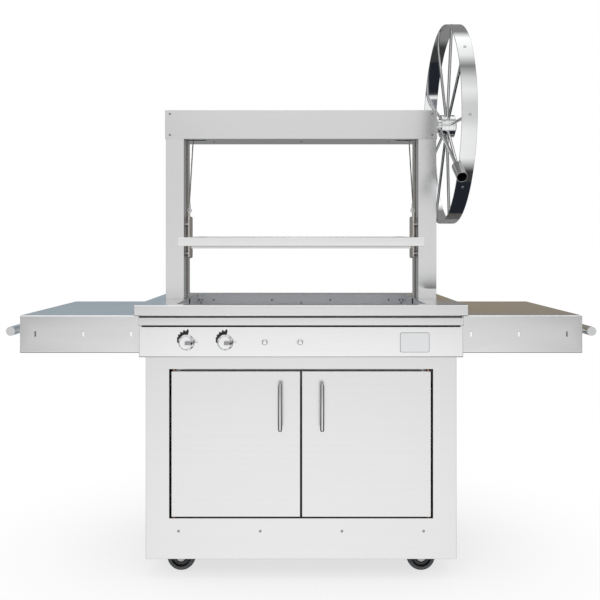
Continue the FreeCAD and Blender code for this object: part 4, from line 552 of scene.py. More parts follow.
def shaft_place():
    """The middle of the lift wheel, on the shaft."""
    turn = joint_place("wheel_turn")
    return Vector((middle("wheel_rim").x, turn.y, turn.z))


def rounded_band(start, end, inner, outer, soft):
    """The outline of a flat ring with soft edges, as (along, radius)."""
    points = []
    for along, radius, first in ((start + soft, inner + soft, 180), (end - soft, inner + soft, 270),
                                 (end - soft, outer - soft, 0), (start + soft, outer - soft, 90)):
        for step in range(4):
            angle = math.radians(first + step * 30)
            points.append((along + soft * math.cos(angle), radius + soft * math.sin(angle)))
    return points


def spoke_outwards():
    """Unit vectors along the spokes, from the first spoke's screw."""
    count = 9
    first = math.radians(36.5)
    for index in range(count):
        angle = first + index * math.tau / count
        yield Vector((0, -math.cos(angle), math.sin(angle)))


def button_screw(place, outward, radius, height, sides=28):
    """A domed screw head with a round recess."""
    data = bmesh.new()
    bmesh.ops.create_circle(data, cap_ends=True, cap_tris=False, segments=sides, radius=radius)
    base = data.faces[:][0]
    top = raised(data, base, height * 0.45)
    bmesh.ops.delete(data, geom=[base], context="FACES_ONLY")
    for shrink, gain in ((0.13, 0.30), (0.22, 0.08)):
        bmesh.ops.inset_region(data, faces=[top], thickness=radius * shrink, depth=0)
        bmesh.ops.translate(data, verts=top.verts, vec=UP * height * gain)
    bmesh.ops.inset_region(data, faces=[top], thickness=radius * 0.22, depth=0)
    bmesh.ops.inset_region(data, faces=[top], thickness=radius * 0.02,
                           depth=-min(sizes().screw_recess, height * 0.8))
    bmesh.ops.recalc_face_normals(data, faces=data.faces)
    smooth_by_angle(data, 32)
    data.transform(Matrix.Translation(place) @ turn_to(outward))
    return data


class GRILL_OT_wheel(bpy.types.Operator):
    """The lift wheel: polished rim, turned hub, spokes and their screws"""

    bl_idname = "grill.wheel"
    bl_label = "Lift wheel"

    def execute(self, context):
        centre = shaft_place()
        outer = node_size("wheel_rim").z / 2
        half = node_size("wheel_rim").x / 2
        thick = 5 * MILLI
        outline = rounded_band(-half, half, outer - thick, outer, 1.1 * MILLI)
        make_object("rim_polished", spun(outline, centre, RIGHT, 160), "polished",
                    "lift_wheel", ("wheel_rim",))
        self.make_hub(centre, half)
        hub = node_size("wheel_hub").z / 2
        rods = []
        foot = 1.5 * MILLI
        rod = node_size("wheel_spokes").x / 2
        for outward in spoke_outwards():
            start = hub - 12 * MILLI
            end = outer - thick - MILLI / 20
            outline = [(start, 0), (start, rod), (hub - foot / 3, rod), (end - foot, rod),
                       (end, rod + foot / 3), (end, 0)]
            rods.append(spun(outline, centre, outward, 28))
        make_object("spokes_polished", merged(rods), "polished", "lift_wheel",
                    ("wheel_spokes",))
        screws = []
        for outward in spoke_outwards():
            screws.append(button_screw(centre + outward * outer, outward, 5.5 * MILLI, 1.6 * MILLI))
            shank = [(outer - thick, 0), (outer - thick, 3 * MILLI), (outer, 3 * MILLI), (outer, 0)]
            screws.append(spun(shank, centre, outward, 16))
        make_object("rim_screws", merged(screws), "turned", "lift_wheel",
                    ("spoke_screws",))
        return {"FINISHED"}

    def make_hub(self, centre, half):
        """The hub's two turned halves with their seam and grooves."""
        radius = node_size("wheel_hub").z / 2
        groove = 2 * MILLI
        place = 9 * MILLI
        nose = high("wheel_hub").x - centre.x
        soft = 1.2 * MILLI
        bore = node_size("drive_shaft").z / 2 + MILLI / 10
        side = [(half, radius - soft), (half - soft, radius), (half - place + soft / 3, radius),
                (half - place, radius - groove), (half - place - groove, radius - groove),
                (half - place - groove - soft / 3, radius), (soft / 2, radius), (0, radius - soft)]
        outline = [(nose, bore / 2), (nose, radius * 0.53), (nose - soft, radius * 0.56),
                   (half, radius * 0.62)] + side
        outline += [(-along, height) for along, height in reversed(side[:-1])]
        outline += [(-half, bore), (half + MILLI / 3, bore), (half + MILLI / 3, bore / 2)]
        make_object("hub_polished", spun(outline, centre, RIGHT, 72), "polished",
                    "lift_wheel", ("wheel_hub",))


def crank_outward():
    """The direction of the crank's rod away from the shaft."""
    return Vector(joint("grip_spin")["axis"]).normalized() * (
        1 if joint("grip_spin")["axis"][1] < 0 else -1)


class GRILL_OT_crank(bpy.types.Operator):
    """The crank's rod and boss, and the tube grip that turns on it"""

    bl_idname = "grill.crank"
    bl_label = "Crank"

    def execute(self, context):
        outward = crank_outward()
        along = (joint_place("grip_spin") - shaft_place()).dot(outward)
        root = joint_place("grip_spin") - outward * along
        grip_radius = 18.5 * MILLI
        start = 389 * MILLI
        length = 91 * MILLI
        wall = 2 * MILLI
        rod = 6 * MILLI
        bush = 20 * MILLI
        gap = 0.3 * MILLI
        soft = 0.8 * MILLI
        outline = [(start, rod + gap / 6), (start, grip_radius - soft * 2),
                   (start + soft, grip_radius - soft / 2), (start + soft * 2, grip_radius),
                   (start + length - soft, grip_radius), (start + length, grip_radius - soft),
                   (start + length, grip_radius - wall + soft / 2),
                   (start + length - soft / 2, grip_radius - wall),
                   (start + bush, grip_radius - wall), (start + bush, rod + gap / 6)]
        tube = spun(outline, root, outward, 64)
        # The faces inside the tube's bore take the near-black disc finish: painted shade inside the bore
        for face in tube.faces:
            reach = face.calc_center_median() - root
            along = reach.dot(outward)
            if along > start + MILLI and (reach - outward * along).length < grip_radius - wall:
                face.material_index = 1
        make_object("grip_tube", tube, ["grip", "disc_and_bore_shade"], "grip",
                    ("crank_grip",))
        collar = 10 * MILLI
        collar_back = start - gap - 6 * MILLI
        rod_foot = 18.75 * MILLI
        nut = start + bush + gap
        nut_end = nut + 7 * MILLI
        rod_outline = [(rod_foot, 0), (rod_foot, rod), (collar_back, rod),
                       (collar_back, collar - soft), (collar_back + soft, collar),
                       (start - gap - soft, collar), (start - gap, collar - soft), (start - gap, rod),
                       (nut, rod), (nut, collar), (nut_end - MILLI, collar),
                       (nut_end, collar - MILLI), (nut_end, 0)]
        parts = [spun(rod_outline, root, outward, 32)]
        # The nut and the rod's end inside the grip's bore take the near-black disc finish: painted shade inside
        # the bore
        for face in parts[0].faces:
            if (face.calc_center_median() - root).dot(outward) > nut - MILLI / 10:
                face.material_index = 1
        boss = low("crank_arm").x
        end = low("wheel_hub").x
        bore = node_size("drive_shaft").z / 2 + MILLI / 10
        radius = 26 * MILLI
        boss_outline = [(boss, bore), (boss, radius - soft), (boss + soft, radius), (end - soft, radius),
                        (end, radius - soft), (end, bore)]
        place = Vector((0, root.y, root.z))
        parts.append(spun(boss_outline, place, RIGHT, 64))
        make_object("crank_polished", merged(parts), ["polished", "disc_and_bore_shade"],
                    "lift_wheel", ("crank_arm",))
        return {"FINISHED"}


def swept(path, radius, sides=8, closed=False):
    """A round bar along points, with round ends unless it is closed on itself."""
    data = bmesh.new()
    rings = []
    count = len(path)
    side = None
    for index, point in enumerate(path):
        before = path[index - 1] if index or closed else point
        after = path[(index + 1) % count] if index + 1 < count or closed else point
        tangent = (after - before).normalized()
        if side is None:
            side = tangent.orthogonal().normalized()
        side = (side - tangent * side.dot(tangent)).normalized()
        other = tangent.cross(side)
        wide = radius[index] if isinstance(radius, (list, tuple)) else radius
        rings.append([data.verts.new(point + (side * math.cos(turn) + other * math.sin(turn)) * wide)
                      for turn in (math.tau * step / sides for step in range(sides))])
    loops = [[data.edges.new((ring[step], ring[(step + 1) % sides])) for step in range(sides)]
             for ring in rings]
    pairs = list(zip(loops, loops[1:])) + ([(loops[-1], loops[0])] if closed else [])
    for first, second in pairs:
        bmesh.ops.bridge_loops(data, edges=first + second)
    if not closed:
        for ring in (rings[0], rings[-1]):
            data.faces.new(ring)
    bmesh.ops.recalc_face_normals(data, faces=data.faces)
    smooth_by_angle(data, 50)
    return data


class GRILL_OT_cables(bpy.types.Operator):
    """The two lifting cables, laid from strands"""

    bl_idname = "grill.cables"
    bl_label = "Lifting cables"

    def execute(self, context):
        for hand, side in (("left", -1), ("right", 1)):
            node = "lifting_cable_" + hand
            lower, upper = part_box(node)
            radius = 2.5 * MILLI
            near = (lower.x + upper.x) / 2
            reach = node_size(node).x / 2 - radius
            start = Vector((near + side * reach, middle(node).y, lower.z))
            end = Vector((near - side * reach, middle(node).y, upper.z))
            make_object("cable_" + hand + "_strands", self.strands(start, end, radius),
                        "cable", "rack")
            obj = bpy.data.objects["cable_" + hand + "_strands"]
            obj.parent = None
            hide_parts(node)
            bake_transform(obj)
        return {"FINISHED"}

    def strands(self, start, end, radius):
        """A core and the strands that wind round it."""
        run = end - start
        axis = run.normalized()
        side = axis.orthogonal().normalized()
        other = axis.cross(side)
        count = sizes().strands
        thin = radius * 0.36
        turns = run.length / sizes().lay
        steps = int(turns * 14)
        parts = [swept([start + run * share / 12 for share in range(13)], radius * 0.5)]
        for index in range(count):
            shift = math.tau * index / count
            path = []
            for step in range(steps + 1):
                share = step / steps
                turn = shift + share * turns * math.tau
                path.append(start + run * share
                            + (side * math.cos(turn) + other * math.sin(turn)) * (radius - thin))
            parts.append(swept(path, thin, 6))
        return merged(parts)


def ring_path(place, facing, radius, first=0.0, turn=math.tau, steps=32):
    """Points round a circle, or along an arc of it."""
    side = facing.orthogonal().normalized()
    other = facing.cross(side)
    last = steps if turn < math.tau else steps - 1
    return [place + (side * math.cos(first + turn * step / steps)
                     + other * math.sin(first + turn * step / steps)) * radius
            for step in range(last + 1)]


class GRILL_OT_cable_ends(bpy.types.Operator):
    """The ferrule and ring at the foot of each cable"""

    bl_idname = "grill.cable_ends"
    bl_label = "Cable ends"

    def execute(self, context):
        parts = []
        upper = high("cable_eyes")
        wire = 2.2 * MILLI
        radius = 7 * MILLI
        ferrule = 20 * MILLI
        for side in (-1, 1):
            x = side * (upper.x - radius - wire)
            foot = Vector((x, middle("cable_eyes").y, upper.z - ferrule))
            eye = foot - UP * radius
            parts.append(swept(ring_path(eye, BACK, radius), wire, 12, True))
            soft = 0.7 * MILLI
            wide = 4.5 * MILLI
            outline = [(0, 0), (0, wide - soft), (soft, wide)]
            for step in range(3):
                crimp = ferrule * (0.25 + 0.25 * step)
                outline += [(crimp - soft, wide), (crimp, wide - soft / 2), (crimp + soft, wide)]
            outline += [(ferrule - soft, wide), (ferrule, wide - soft), (ferrule, 0)]
            parts.append(spun(outline, foot, UP, 28))
        make_object("cable_ferrules", merged(parts), "polished", "rack",
                    ("cable_eyes",))
        return {"FINISHED"}


class GRILL_OT_rollers(bpy.types.Operator):
    """The four guide rollers of the rack"""

    bl_idname = "grill.rollers"
    bl_label = "Guide rollers"

    def execute(self, context):
        for hand, side in (("left", -1), ("right", 1)):
            for level in ("upper", "lower"):
                node = "roller_" + level + "_" + hand
                place = middle(node)
                half = node_size(node).x / 2
                tread = node_size(node).z / 2
                neck = 9 * MILLI
                wide = 12 * MILLI
                bore = 4.05 * MILLI
                soft = 1.5 * MILLI
                outline = [(-half, bore), (-half, neck - soft / 3), (-half + soft / 3, neck),
                           (half - wide, neck), (half - wide, tread - soft),
                           (half - wide + soft / 3, tread - soft / 3), (half - wide + soft, tread),
                           (half - soft, tread), (half - soft / 3, tread - soft / 3),
                           (half, tread - soft), (half, tread * 0.75),
                           (half - soft / 2, tread * 0.7), (half - soft / 2, bore + 2 * MILLI),
                           (half, bore + 1.4 * MILLI), (half, bore)]
                make_object(node + "_turned", spun(outline, place, RIGHT * side, 48),
                            "turned", node, (node,))
        return {"FINISHED"}


# A black disc behind each knob, shifted below it and to its right, is a painted shadow of the knob on the panel
KNOB_SHADOW_SHIFT = Vector((0.9, -0.3, -1.1)) * MILLI


class GRILL_OT_knobs(bpy.types.Operator):
    """The gas knobs: a scalloped skirt, a round cap and a pointer bar"""

    bl_idname = "grill.knobs"
    bl_label = "Gas knobs"

    def execute(self, context):
        for hand in ("left", "right"):
            node = "knob_" + hand
            turn = joint_place("knob_" + hand + "_turn")
            back = Vector((turn.x, high(node).y, turn.z))
            radius = node_size(node).z / 2 * 0.97
            # The knob's cap and skirt take the paler sheet of the painted highlight
            make_object(node + "_chrome", self.knob(node, back),
                        ["sheet_panel", "screw"], node,
                        (node,))
            # A black disc just behind the knob, shifted down and right: painted shadow
            shadow_disc = spun([(0, 0), (0, radius), (MILLI / 2, radius), (MILLI / 2, 0)],
                        back + KNOB_SHADOW_SHIFT, FRONT, 64)
            make_object(node + "_seal", shadow_disc, "print", node)
            make_object(node + "_dot", self.dot(node, back), "print", node)
        return {"FINISHED"}

    def knob(self, node, back):
        """The knob, standing forward from the panel."""
        radius = node_size(node).z / 2
        skirt = 9 * MILLI
        cap = 22 * MILLI
        cap_radius = 22.5 * MILLI
        lobes = 8
        reach = 25 * MILLI
        half = 6 * MILLI
        data = bmesh.new()
        bmesh.ops.create_circle(data, cap_ends=True, cap_tris=False, segments=96, radius=radius)
        for vert in data.verts:
            angle = math.atan2(vert.co.y, vert.co.x)
            lobe = abs(math.sin(angle * lobes / 2))
            vert.co *= 1 - 0.1 * (1 - lobe) ** 1.2
        top = raised(data, data.faces[:][0], skirt)
        bmesh.ops.recalc_face_normals(data, faces=data.faces)
        bmesh.ops.bevel(data, geom=top.edges[:], offset=1.6 * MILLI, offset_type="OFFSET",
                        segments=4, profile=0.5, affect="EDGES", clamp_overlap=True, material=-1)
        smooth_by_angle(data, 40)
        soft = 2.4 * MILLI
        outline = [(skirt / 2, 0), (skirt / 2, cap_radius), (cap - soft, cap_radius)]
        for step in range(1, 6):
            angle = math.radians(step * 18)
            outline.append((cap - soft + soft * math.sin(angle),
                            cap_radius - soft + soft * math.cos(angle)))
        outline += [(cap, cap_radius - soft - MILLI / 4), (cap, 0)]
        body = spun(outline, (0, 0, 0), UP, 64)
        depth = -low(node).y + back.y
        grip = boxed((-MILLI, -half, cap - MILLI), (reach, half, depth))
        rounded(grip, 1.2 * MILLI, 3)
        for face in grip.faces:
            face.material_index = 1
        data = merged([data, body, grip])
        data.transform(Matrix.Translation(back) @ Matrix.Rotation(math.radians(90), 4, "X"))
        return data

    def dot(self, node, back):
        """The black dot near the pointer's end."""
        depth = -low(node).y + back.y
        place = back + RIGHT * 22 * MILLI + FRONT * (depth - MILLI / 10)
        outline = [(0, 0), (0, 3.5 * MILLI), (0.18 * MILLI, 3.3 * MILLI), (0.2 * MILLI, 0)]
        return spun(outline, place, FRONT, 24)


class GRILL_OT_buttons(bpy.types.Operator):
    """The two push buttons"""

    bl_idname = "grill.buttons"
    bl_label = "Push buttons"

    def execute(self, context):
        face = low("control_panel").y + 2 * MILLI
        inner = 10.4 * MILLI
        outer = 13 * MILLI
        ring = [(-MILLI, inner), (-MILLI, outer)]
        for step in range(7):
            angle = math.radians(step * 30)
            ring.append((0.4 * MILLI + 0.8 * MILLI * math.sin(angle),
                         (inner + outer) / 2 + (outer - inner) / 2 * math.cos(angle)))
        rings = []
        for hand in ("left", "right"):
            node = "button_" + hand
            radius = node_size(node).x / 2
            length = node_size(node).y
            place = Vector((middle(node).x, low(node).y, middle(node).z))
            soft = 1.6 * MILLI
            outline = [(0, 0), (0.1 * MILLI, radius * 0.5), (0.35 * MILLI, radius - soft * 1.4),
                       (soft * 0.6, radius - soft * 0.5), (soft * 1.3, radius), (length, radius),
                       (length, 0)]
            # The button caps and rings take the paler sheet of the painted highlight
            make_object(node + "_cap", spun(outline, place, BACK, 48), "sheet_panel", node,
                        (node,))
            rings.append(spun(ring, Vector((place.x, face, place.z)), FRONT, 48))
        make_object("button_rings", merged(rings), "sheet_panel", "stand")
        return {"FINISHED"}


def arc_wedge(place, inner, outer_low, outer_high, first, last, tongues, thick):
    """A thin printed crescent that widens from its first angle to its last, with tongues."""
    steps = tongues * 8
    data = bmesh.new()
    ring = [data.verts.new((math.cos(first) * inner, math.sin(first) * inner, 0)),
            data.verts.new((math.cos(first) * outer_low, math.sin(first) * outer_low, 0))]
    edge = data.edges.new(ring)
    current = [edge]
    for step in range(steps):
        turn = (last - first) / steps
        grown = bmesh.ops.extrude_edge_only(data, edges=current)
        current = [item for item in grown["geom"] if isinstance(item, bmesh.types.BMEdge)]
        verts = {vert for item in current for vert in item.verts}
        bmesh.ops.rotate(data, verts=list(verts), cent=(0, 0, 0),
                         matrix=Matrix.Rotation(turn, 3, "Z"))
        share = (step + 1) / steps
        tongue = 1 - abs((step % 8) / 4 - 1)
        want = outer_low + (outer_high - outer_low) * share ** 0.7 * (0.42 + 0.58 * tongue)
        far = max(verts, key=lambda vert: vert.co.length)
        far.co = far.co.normalized() * want
    grown = bmesh.ops.extrude_face_region(data, geom=data.faces[:])
    lifted = [item for item in grown["geom"] if isinstance(item, bmesh.types.BMVert)]
    bmesh.ops.translate(data, verts=lifted, vec=UP * thick)
    bmesh.ops.recalc_face_normals(data, faces=data.faces)
    data.transform(Matrix.Translation(place) @ Matrix.Rotation(math.radians(90), 4, "X"))
    return data


# The bare plate on the panel
PLATE_LEFT = 337 * MILLI
PLATE_RIGHT = 434.5 * MILLI
PLATE_BOTTOM = 788 * MILLI
PLATE_TOP = 853 * MILLI
PLATE_THICK = 1.2 * MILLI


def runs_back(edge):
    """True for an edge of the plate that runs from its front to its back."""
    return abs((edge.verts[0].co - edge.verts[1].co).y) > PLATE_THICK * 0.15


class GRILL_OT_print(bpy.types.Operator):
    """The printed heat marks round the knobs, and the bare plate on the panel"""

    bl_idname = "grill.print"
    bl_label = "Marks and plate"

    def execute(self, context):
        front = low("control_panel").y + 2 * MILLI
        parts = []
        thick = MILLI / 8
        for hand in ("left", "right"):
            turn = joint_place("knob_" + hand + "_turn")
            place = Vector((turn.x, front, turn.z))
            parts.append(arc_wedge(place, 26 * MILLI, 30 * MILLI, 46 * MILLI, math.radians(186),
                                   math.radians(78), 6, thick))
            parts.append(boxed(place + Vector((32 * MILLI, -thick, -0.6 * MILLI)),
                               place + Vector((40 * MILLI, 0, 0.6 * MILLI))))
        make_object("heat_marks", merged(parts), "print", "stand")
        lower = Vector((PLATE_LEFT, front - PLATE_THICK, PLATE_BOTTOM))
        upper = Vector((PLATE_RIGHT, front, PLATE_TOP))
        plate = boxed(lower, upper)
        rounded(plate, 6 * MILLI, 6, runs_back)
        rounded(plate, 0.4 * MILLI, 2)
        make_object("bare_plate", plate, "plate", "stand")
        edge = Vector((1.1 * MILLI, 0, 1.1 * MILLI))
        frame_line = boxed(lower - edge + BACK * MILLI, upper + edge)
        rounded(frame_line, 7 * MILLI, 6, runs_back)
        make_object("plate_outline", frame_line, "print", "stand")
        return {"FINISHED"}


class GRILL_OT_gap_shade(bpy.types.Operator):
    """Black strips in the seams above and below the band: painted shade that makes the seams read dark"""

    bl_idname = "grill.seals"
    bl_label = "Painted gap shade"

    def execute(self, context):
        wall = low("firebox_housing").y
        deep = 5 * MILLI
        parts = []
        for upper, lower in (("worktop_deck", "firebox_band"), ("firebox_band", "control_panel")):
            half = high(lower).x - 4 * MILLI
            strip = boxed((-half, wall - deep, high(lower).z + MILLI / 5),
                          (half, wall, low(upper).z - MILLI / 5))
            rounded(strip, MILLI, 2)
            parts.append(strip)
        # Painted shade: black strips in the seams
        make_object("seam_painted_shade", merged(parts), "print", "stand")
        self.door_gap_shade()
        return {"FINISHED"}

    def door_gap_shade(self):
        """Black strips behind the gaps above, below and between the doors: painted shade in the gaps."""
        lower = low("door_left")
        upper = high("door_right")
        pin_room = 30 * MILLI
        slit = 0.4 * MILLI
        thick = 2.6 * MILLI
        front = lower.y + 2.5 * MILLI
        back = front + 6 * MILLI
        # Painted shade: black strips above and below the doors
        parts = [boxed((lower.x + pin_room, front, z + slit), (upper.x - pin_room, back, z + thick))
                 for z in (upper.z, lower.z - slit - thick)]
        make_object("doorway_seal", merged(parts), "print", "stand")
        # Painted shade: a black strip in the gap between the doors
        edge = high("door_left").x
        strip = boxed((edge + slit, front, lower.z + slit),
                      (low("door_right").x - 2 * slit, back, upper.z - slit))
        make_object("door_edge_seal", strip, "print", "door_left")


class GRILL_OT_hems(bpy.types.Operator):
    """The rolled hems under the side shelves"""

    bl_idname = "grill.hems"
    bl_label = "Hems"

    def execute(self, context):
        soft = sizes().hem
        parts = []
        for node in HEMMED:
            lower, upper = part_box(node)
            lower += Vector((soft, soft, soft))
            upper -= Vector((soft, soft, soft))
            for y in (lower.y, upper.y):
                parts.append(stick(Vector((lower.x, y, lower.z)), RIGHT, soft, upper.x - lower.x))
            for x in (lower.x, upper.x):
                parts.append(stick(Vector((x, lower.y, lower.z)), BACK, soft, upper.y - lower.y))
        make_object("hems", merged(parts), "hem", "stand")
        return {"FINISHED"}


class GRILL_OT_handles(bpy.types.Operator):
    """The doors' bowed handles on their feet"""

    bl_idname = "grill.handles"
    bl_label = "Door handles"

    def execute(self, context):
        for hand in ("left", "right"):
            node = "door_handle_" + hand
            lower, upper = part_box(node)
            radius = node_size(node).x / 2
            x = middle(node).x
            front = lower.y + radius
            feet_low, feet_high = lower.z, upper.z
            lower.z += 9 * MILLI
            upper.z -= 4 * MILLI
            bow = sizes().handle_bow
            path = []
            widths = []
            steps = 40
            tall = upper.z - lower.z
            for step in range(steps + 1):
                share = step / steps
                z = lower.z + tall * (0.5 - 0.5 * math.cos(math.pi * share))
                level = (z - lower.z) / tall
                near = min(z - lower.z, upper.z - z)
                dome = math.sqrt(max(0.0, 1 - (1 - min(near / radius, 1)) ** 2))
                path.append(Vector((x, front + bow * (2 * level - 1) ** 2, z)))
                widths.append(max(radius * dome, radius / 60))
            parts = [swept(path, widths, 24)]
            for z in (feet_low + 22 * MILLI, feet_high - 22 * MILLI):
                foot = Vector((x, front + bow / 2, z))
                length = upper.y - foot.y
                wide = 5 * MILLI
                outline = [(0, 0), (0, wide), (length - 1.6 * MILLI, wide),
                           (length - 1.4 * MILLI, wide * 1.5), (length - 0.4 * MILLI, wide * 1.5),
                           (length, wide * 1.4), (length, 0)]
                parts.append(spun(outline, foot, BACK, 28))
            make_object(node + "_bowed", merged(parts), "polished", "door_" + hand,
                        (node,))
        return {"FINISHED"}


CASTORS = [row + "_" + hand for row in ("front", "rear") for hand in ("left", "right")]


class GRILL_OT_castors(bpy.types.Operator):
    """The castors: tyre, black disc, hub and folded fork"""

    bl_idname = "grill.castors"
    bl_label = "Castors"

    def execute(self, context):
        for name in CASTORS:
            self.wheel(name)
            dressed("castor_fork_" + name, "zinc", "zinc", 0.6 * MILLI)
        return {"FINISHED"}

    def wheel(self, name):
        """One wheel: a soft-shouldered tyre, and its disc with the hub and bolt covers."""
        node = "castor_wheel_" + name
        place = middle(node)
        radius = node_size(node).z / 2
        half = node_size(node).y / 2
        inner = 36 * MILLI
        tyre = [(-half * 0.92, inner), (-half * 0.96, inner + 2 * MILLI)]
        for step in range(13):
            angle = math.radians(-78 + step * 13)
            tyre.append((half * math.sin(angle), radius - half * 0.42 * (1 - math.cos(angle))))
        tyre += [(half * 0.96, inner + 2 * MILLI), (half * 0.92, inner)]
        make_object(node + "_tyre", spun(tyre, place, BACK, 96), "tyre",
                    "wheel_" + name, (node,))
        hub = 17 * MILLI
        bore = 5.05 * MILLI
        side = [(half * 0.97, inner), (half * 0.97, inner - 1.5 * MILLI), (half * 0.55, 33 * MILLI),
                (half * 0.55, 29 * MILLI), (half * 0.8, 28 * MILLI), (half * 0.84, 27 * MILLI),
                (half * 0.84, 22 * MILLI), (half * 0.8, 21 * MILLI), (half * 0.55, 20 * MILLI),
                (half * 0.55, hub)]
        disc_and_bore_shade = side + [(-along, wide) for along, wide in reversed(side)]
        shape = spun(disc_and_bore_shade, place, BACK, 72)
        ring = (20.5 * MILLI, 28.5 * MILLI)
        for face in shape.faces:
            reach = (face.calc_center_median() - place) * Vector((1, 0, 1))
            face.material_index = 1 if ring[0] < reach.length < ring[1] else 0
        make_object(node + "_disc", shape, ("disc_and_bore_shade", "plastic"),
                    "wheel_" + name)
        core = [(-half, bore), (-half, hub - 1.2 * MILLI), (-half + 1.2 * MILLI, hub),
                (half - 1.2 * MILLI, hub), (half, hub - 1.2 * MILLI), (half, bore)]
        make_object(node + "_hub", spun(core, place, BACK, 48), "hub",
                    "wheel_" + name)


class GRILL_OT_screws(bpy.types.Operator):
    """The domed screws on the beam, the kick panel and the firebox's back wall"""

    bl_idname = "grill.screws"
    bl_label = "Screws"

    def execute(self, context):
        data = bmesh.new()
        data.from_mesh(frame["nodes"]["panel_screws"].data)
        bmesh.ops.remove_doubles(data, verts=data.verts, dist=MILLI / 50)
        parts = []
        left = set(data.verts)
        while left:
            island = [left.pop()]
            for vert in island:
                for edge in vert.link_edges:
                    other = edge.other_vert(vert)
                    if other in left:
                        left.remove(other)
                        island.append(other)
            lower = Vector([min(vert.co[axis] for vert in island) for axis in range(3)])
            upper = Vector([max(vert.co[axis] for vert in island) for axis in range(3)])
            size = upper - lower
            place = (lower + upper) / 2
            if size.y < size.z:
                parts.append(button_screw(Vector((place.x, upper.y, place.z)), FRONT, size.x / 2,
                                          size.y))
            else:
                parts.append(button_screw(Vector((place.x, place.y, upper.z)), -UP, size.x / 2,
                                          size.z))
        data.free()
        # The screw heads take the darker screw steel: painted shade
        make_object("panel_screw_heads", merged(parts), "screw", "stand",
                    ("panel_screws",))
        return {"FINISHED"}


class GRILL_OT_drums(bpy.types.Operator):
    """The two flanged drums on the shaft"""

    bl_idname = "grill.drums"
    bl_label = "Cable drums"

    def execute(self, context):
        lower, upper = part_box("cable_drums")
        turn = joint_place("wheel_turn")
        flange = (upper.z - lower.z) / 2
        core = 27.2 * MILLI
        wall = 3 * MILLI
        length = 38 * MILLI
        bore = node_size("drive_shaft").z / 2 + MILLI / 10
        soft = 0.5 * MILLI
        parts = []
        for side in (-1, 1):
            start = Vector((side * upper.x - (length if side > 0 else 0), turn.y, turn.z))
            outline = [(0, bore), (0, flange - soft), (soft, flange), (wall - soft, flange),
                       (wall, flange - soft), (wall, core), (length - wall, core),
                       (length - wall, flange - soft), (length - wall + soft, flange),
                       (length - soft, flange), (length, flange - soft), (length, bore)]
            parts.append(spun(outline, start, RIGHT, 56))
        make_object("drums_turned", merged(parts), "turned", "lift_wheel",
                    ("cable_drums",))
        return {"FINISHED"}


def make_camera():
    """Stands where the photograph was taken from, level, facing the middle of the grill."""
    data = bpy.data.cameras.new("camera")
    camera = linked("camera", data)
    settings = bpy.context.scene.grill_stage
    camera.location = (0, -settings.distance, settings.eye_height)
    camera.rotation_euler = (math.radians(90), 0, 0)
    data.sensor_width = SENSOR_WIDTH
    data.lens = FOCAL_PIXELS * SENSOR_WIDTH / PICTURE_WIDTH
    data.shift_x = (PICTURE_WIDTH / 2 - MIDDLE_COLUMN) / PICTURE_WIDTH
    data.shift_y = (HORIZON_ROW - PICTURE_WIDTH / 2) / PICTURE_WIDTH
    data.clip_start = 0.05
    data.clip_end = 60
    bpy.context.scene.camera = camera


def seen(tree):
    """One where the camera looks at the backdrop, straight or through something clear."""
    path = add(tree, "LightPath")
    either = add(tree, "Math", {0: path.outputs["Is Camera Ray"],
                                1: path.outputs["Is Transmission Ray"]}, operation="MAXIMUM")
    return either.outputs["Value"]


# The studio's tones
BLACK = (0.05, 0.05, 0.05)
DARK = (0.25, 0.25, 0.25)
GREY = (0.75, 0.75, 0.75)
WHITE = (1.0, 1.0, 1.0)
LAMP = (1.25, 1.25, 1.25)

# A plain studio in steps of 15 degrees, from the floor behind (-180) past straight in front (0) to
# the wall behind (180): a dark floor, a white wall that is greyer at eye level, and a lamp overhead
STUDIO = (
    (-180, DARK), (-135, DARK), (-120, BLACK), (-60, BLACK), (-45, WHITE), (-15, WHITE), (0, GREY),
    (15, GREY), (30, WHITE), (45, GREY), (60, DARK), (75, WHITE), (105, LAMP), (120, DARK),
    (180, DARK),
)

# The share of that light by how far a ray runs sideways: the same on both sides, with dim ends
FLAGS = (
    (-1.0, DARK), (-0.6, DARK), (-0.4, GREY), (-0.2, WHITE), (0.2, WHITE), (0.4, GREY),
    (0.6, DARK), (1.0, DARK),
)


def scale_of(tree, table, reach, value, limit):
    """Reads a table of (place, colour): places run to the reach either way, values to the limit."""
    spread = add(tree, "MapRange", {"Value": value, "From Min": -limit, "From Max": limit})
    node = add(tree, "ValToRGB", {"Fac": spread.outputs["Result"]})
    elements = node.color_ramp.elements
    while len(elements) < len(table):
        elements.new(0.5)
    for element, (place, colour) in zip(elements, table):
        element.position = (place + reach) / (reach * 2)
        element.color = (*colour, 1)
    return node.outputs["Color"]


def studio_strips(tree):
    """The studio's long strips, from the floor in front over the ceiling to the floor behind."""
    place = add(tree, "TexCoord")
    apart = add(tree, "SeparateXYZ", {"Vector": place.outputs["Generated"]})
    ahead = add(tree, "Math", {0: apart.outputs["Y"], 1: -1.0}, operation="MULTIPLY")
    angle = add(tree, "Math", {0: apart.outputs["Z"], 1: ahead.outputs["Value"]},
                operation="ARCTAN2")
    mix = add(tree, "Mix", {"Factor": 1.0,
                            "A": scale_of(tree, STUDIO, 180, angle.outputs["Value"], math.pi),
                            "B": scale_of(tree, FLAGS, 1, apart.outputs["X"], 1.0)},
              data_type="RGBA", blend_type="MULTIPLY")
    return mix.outputs["Result"]


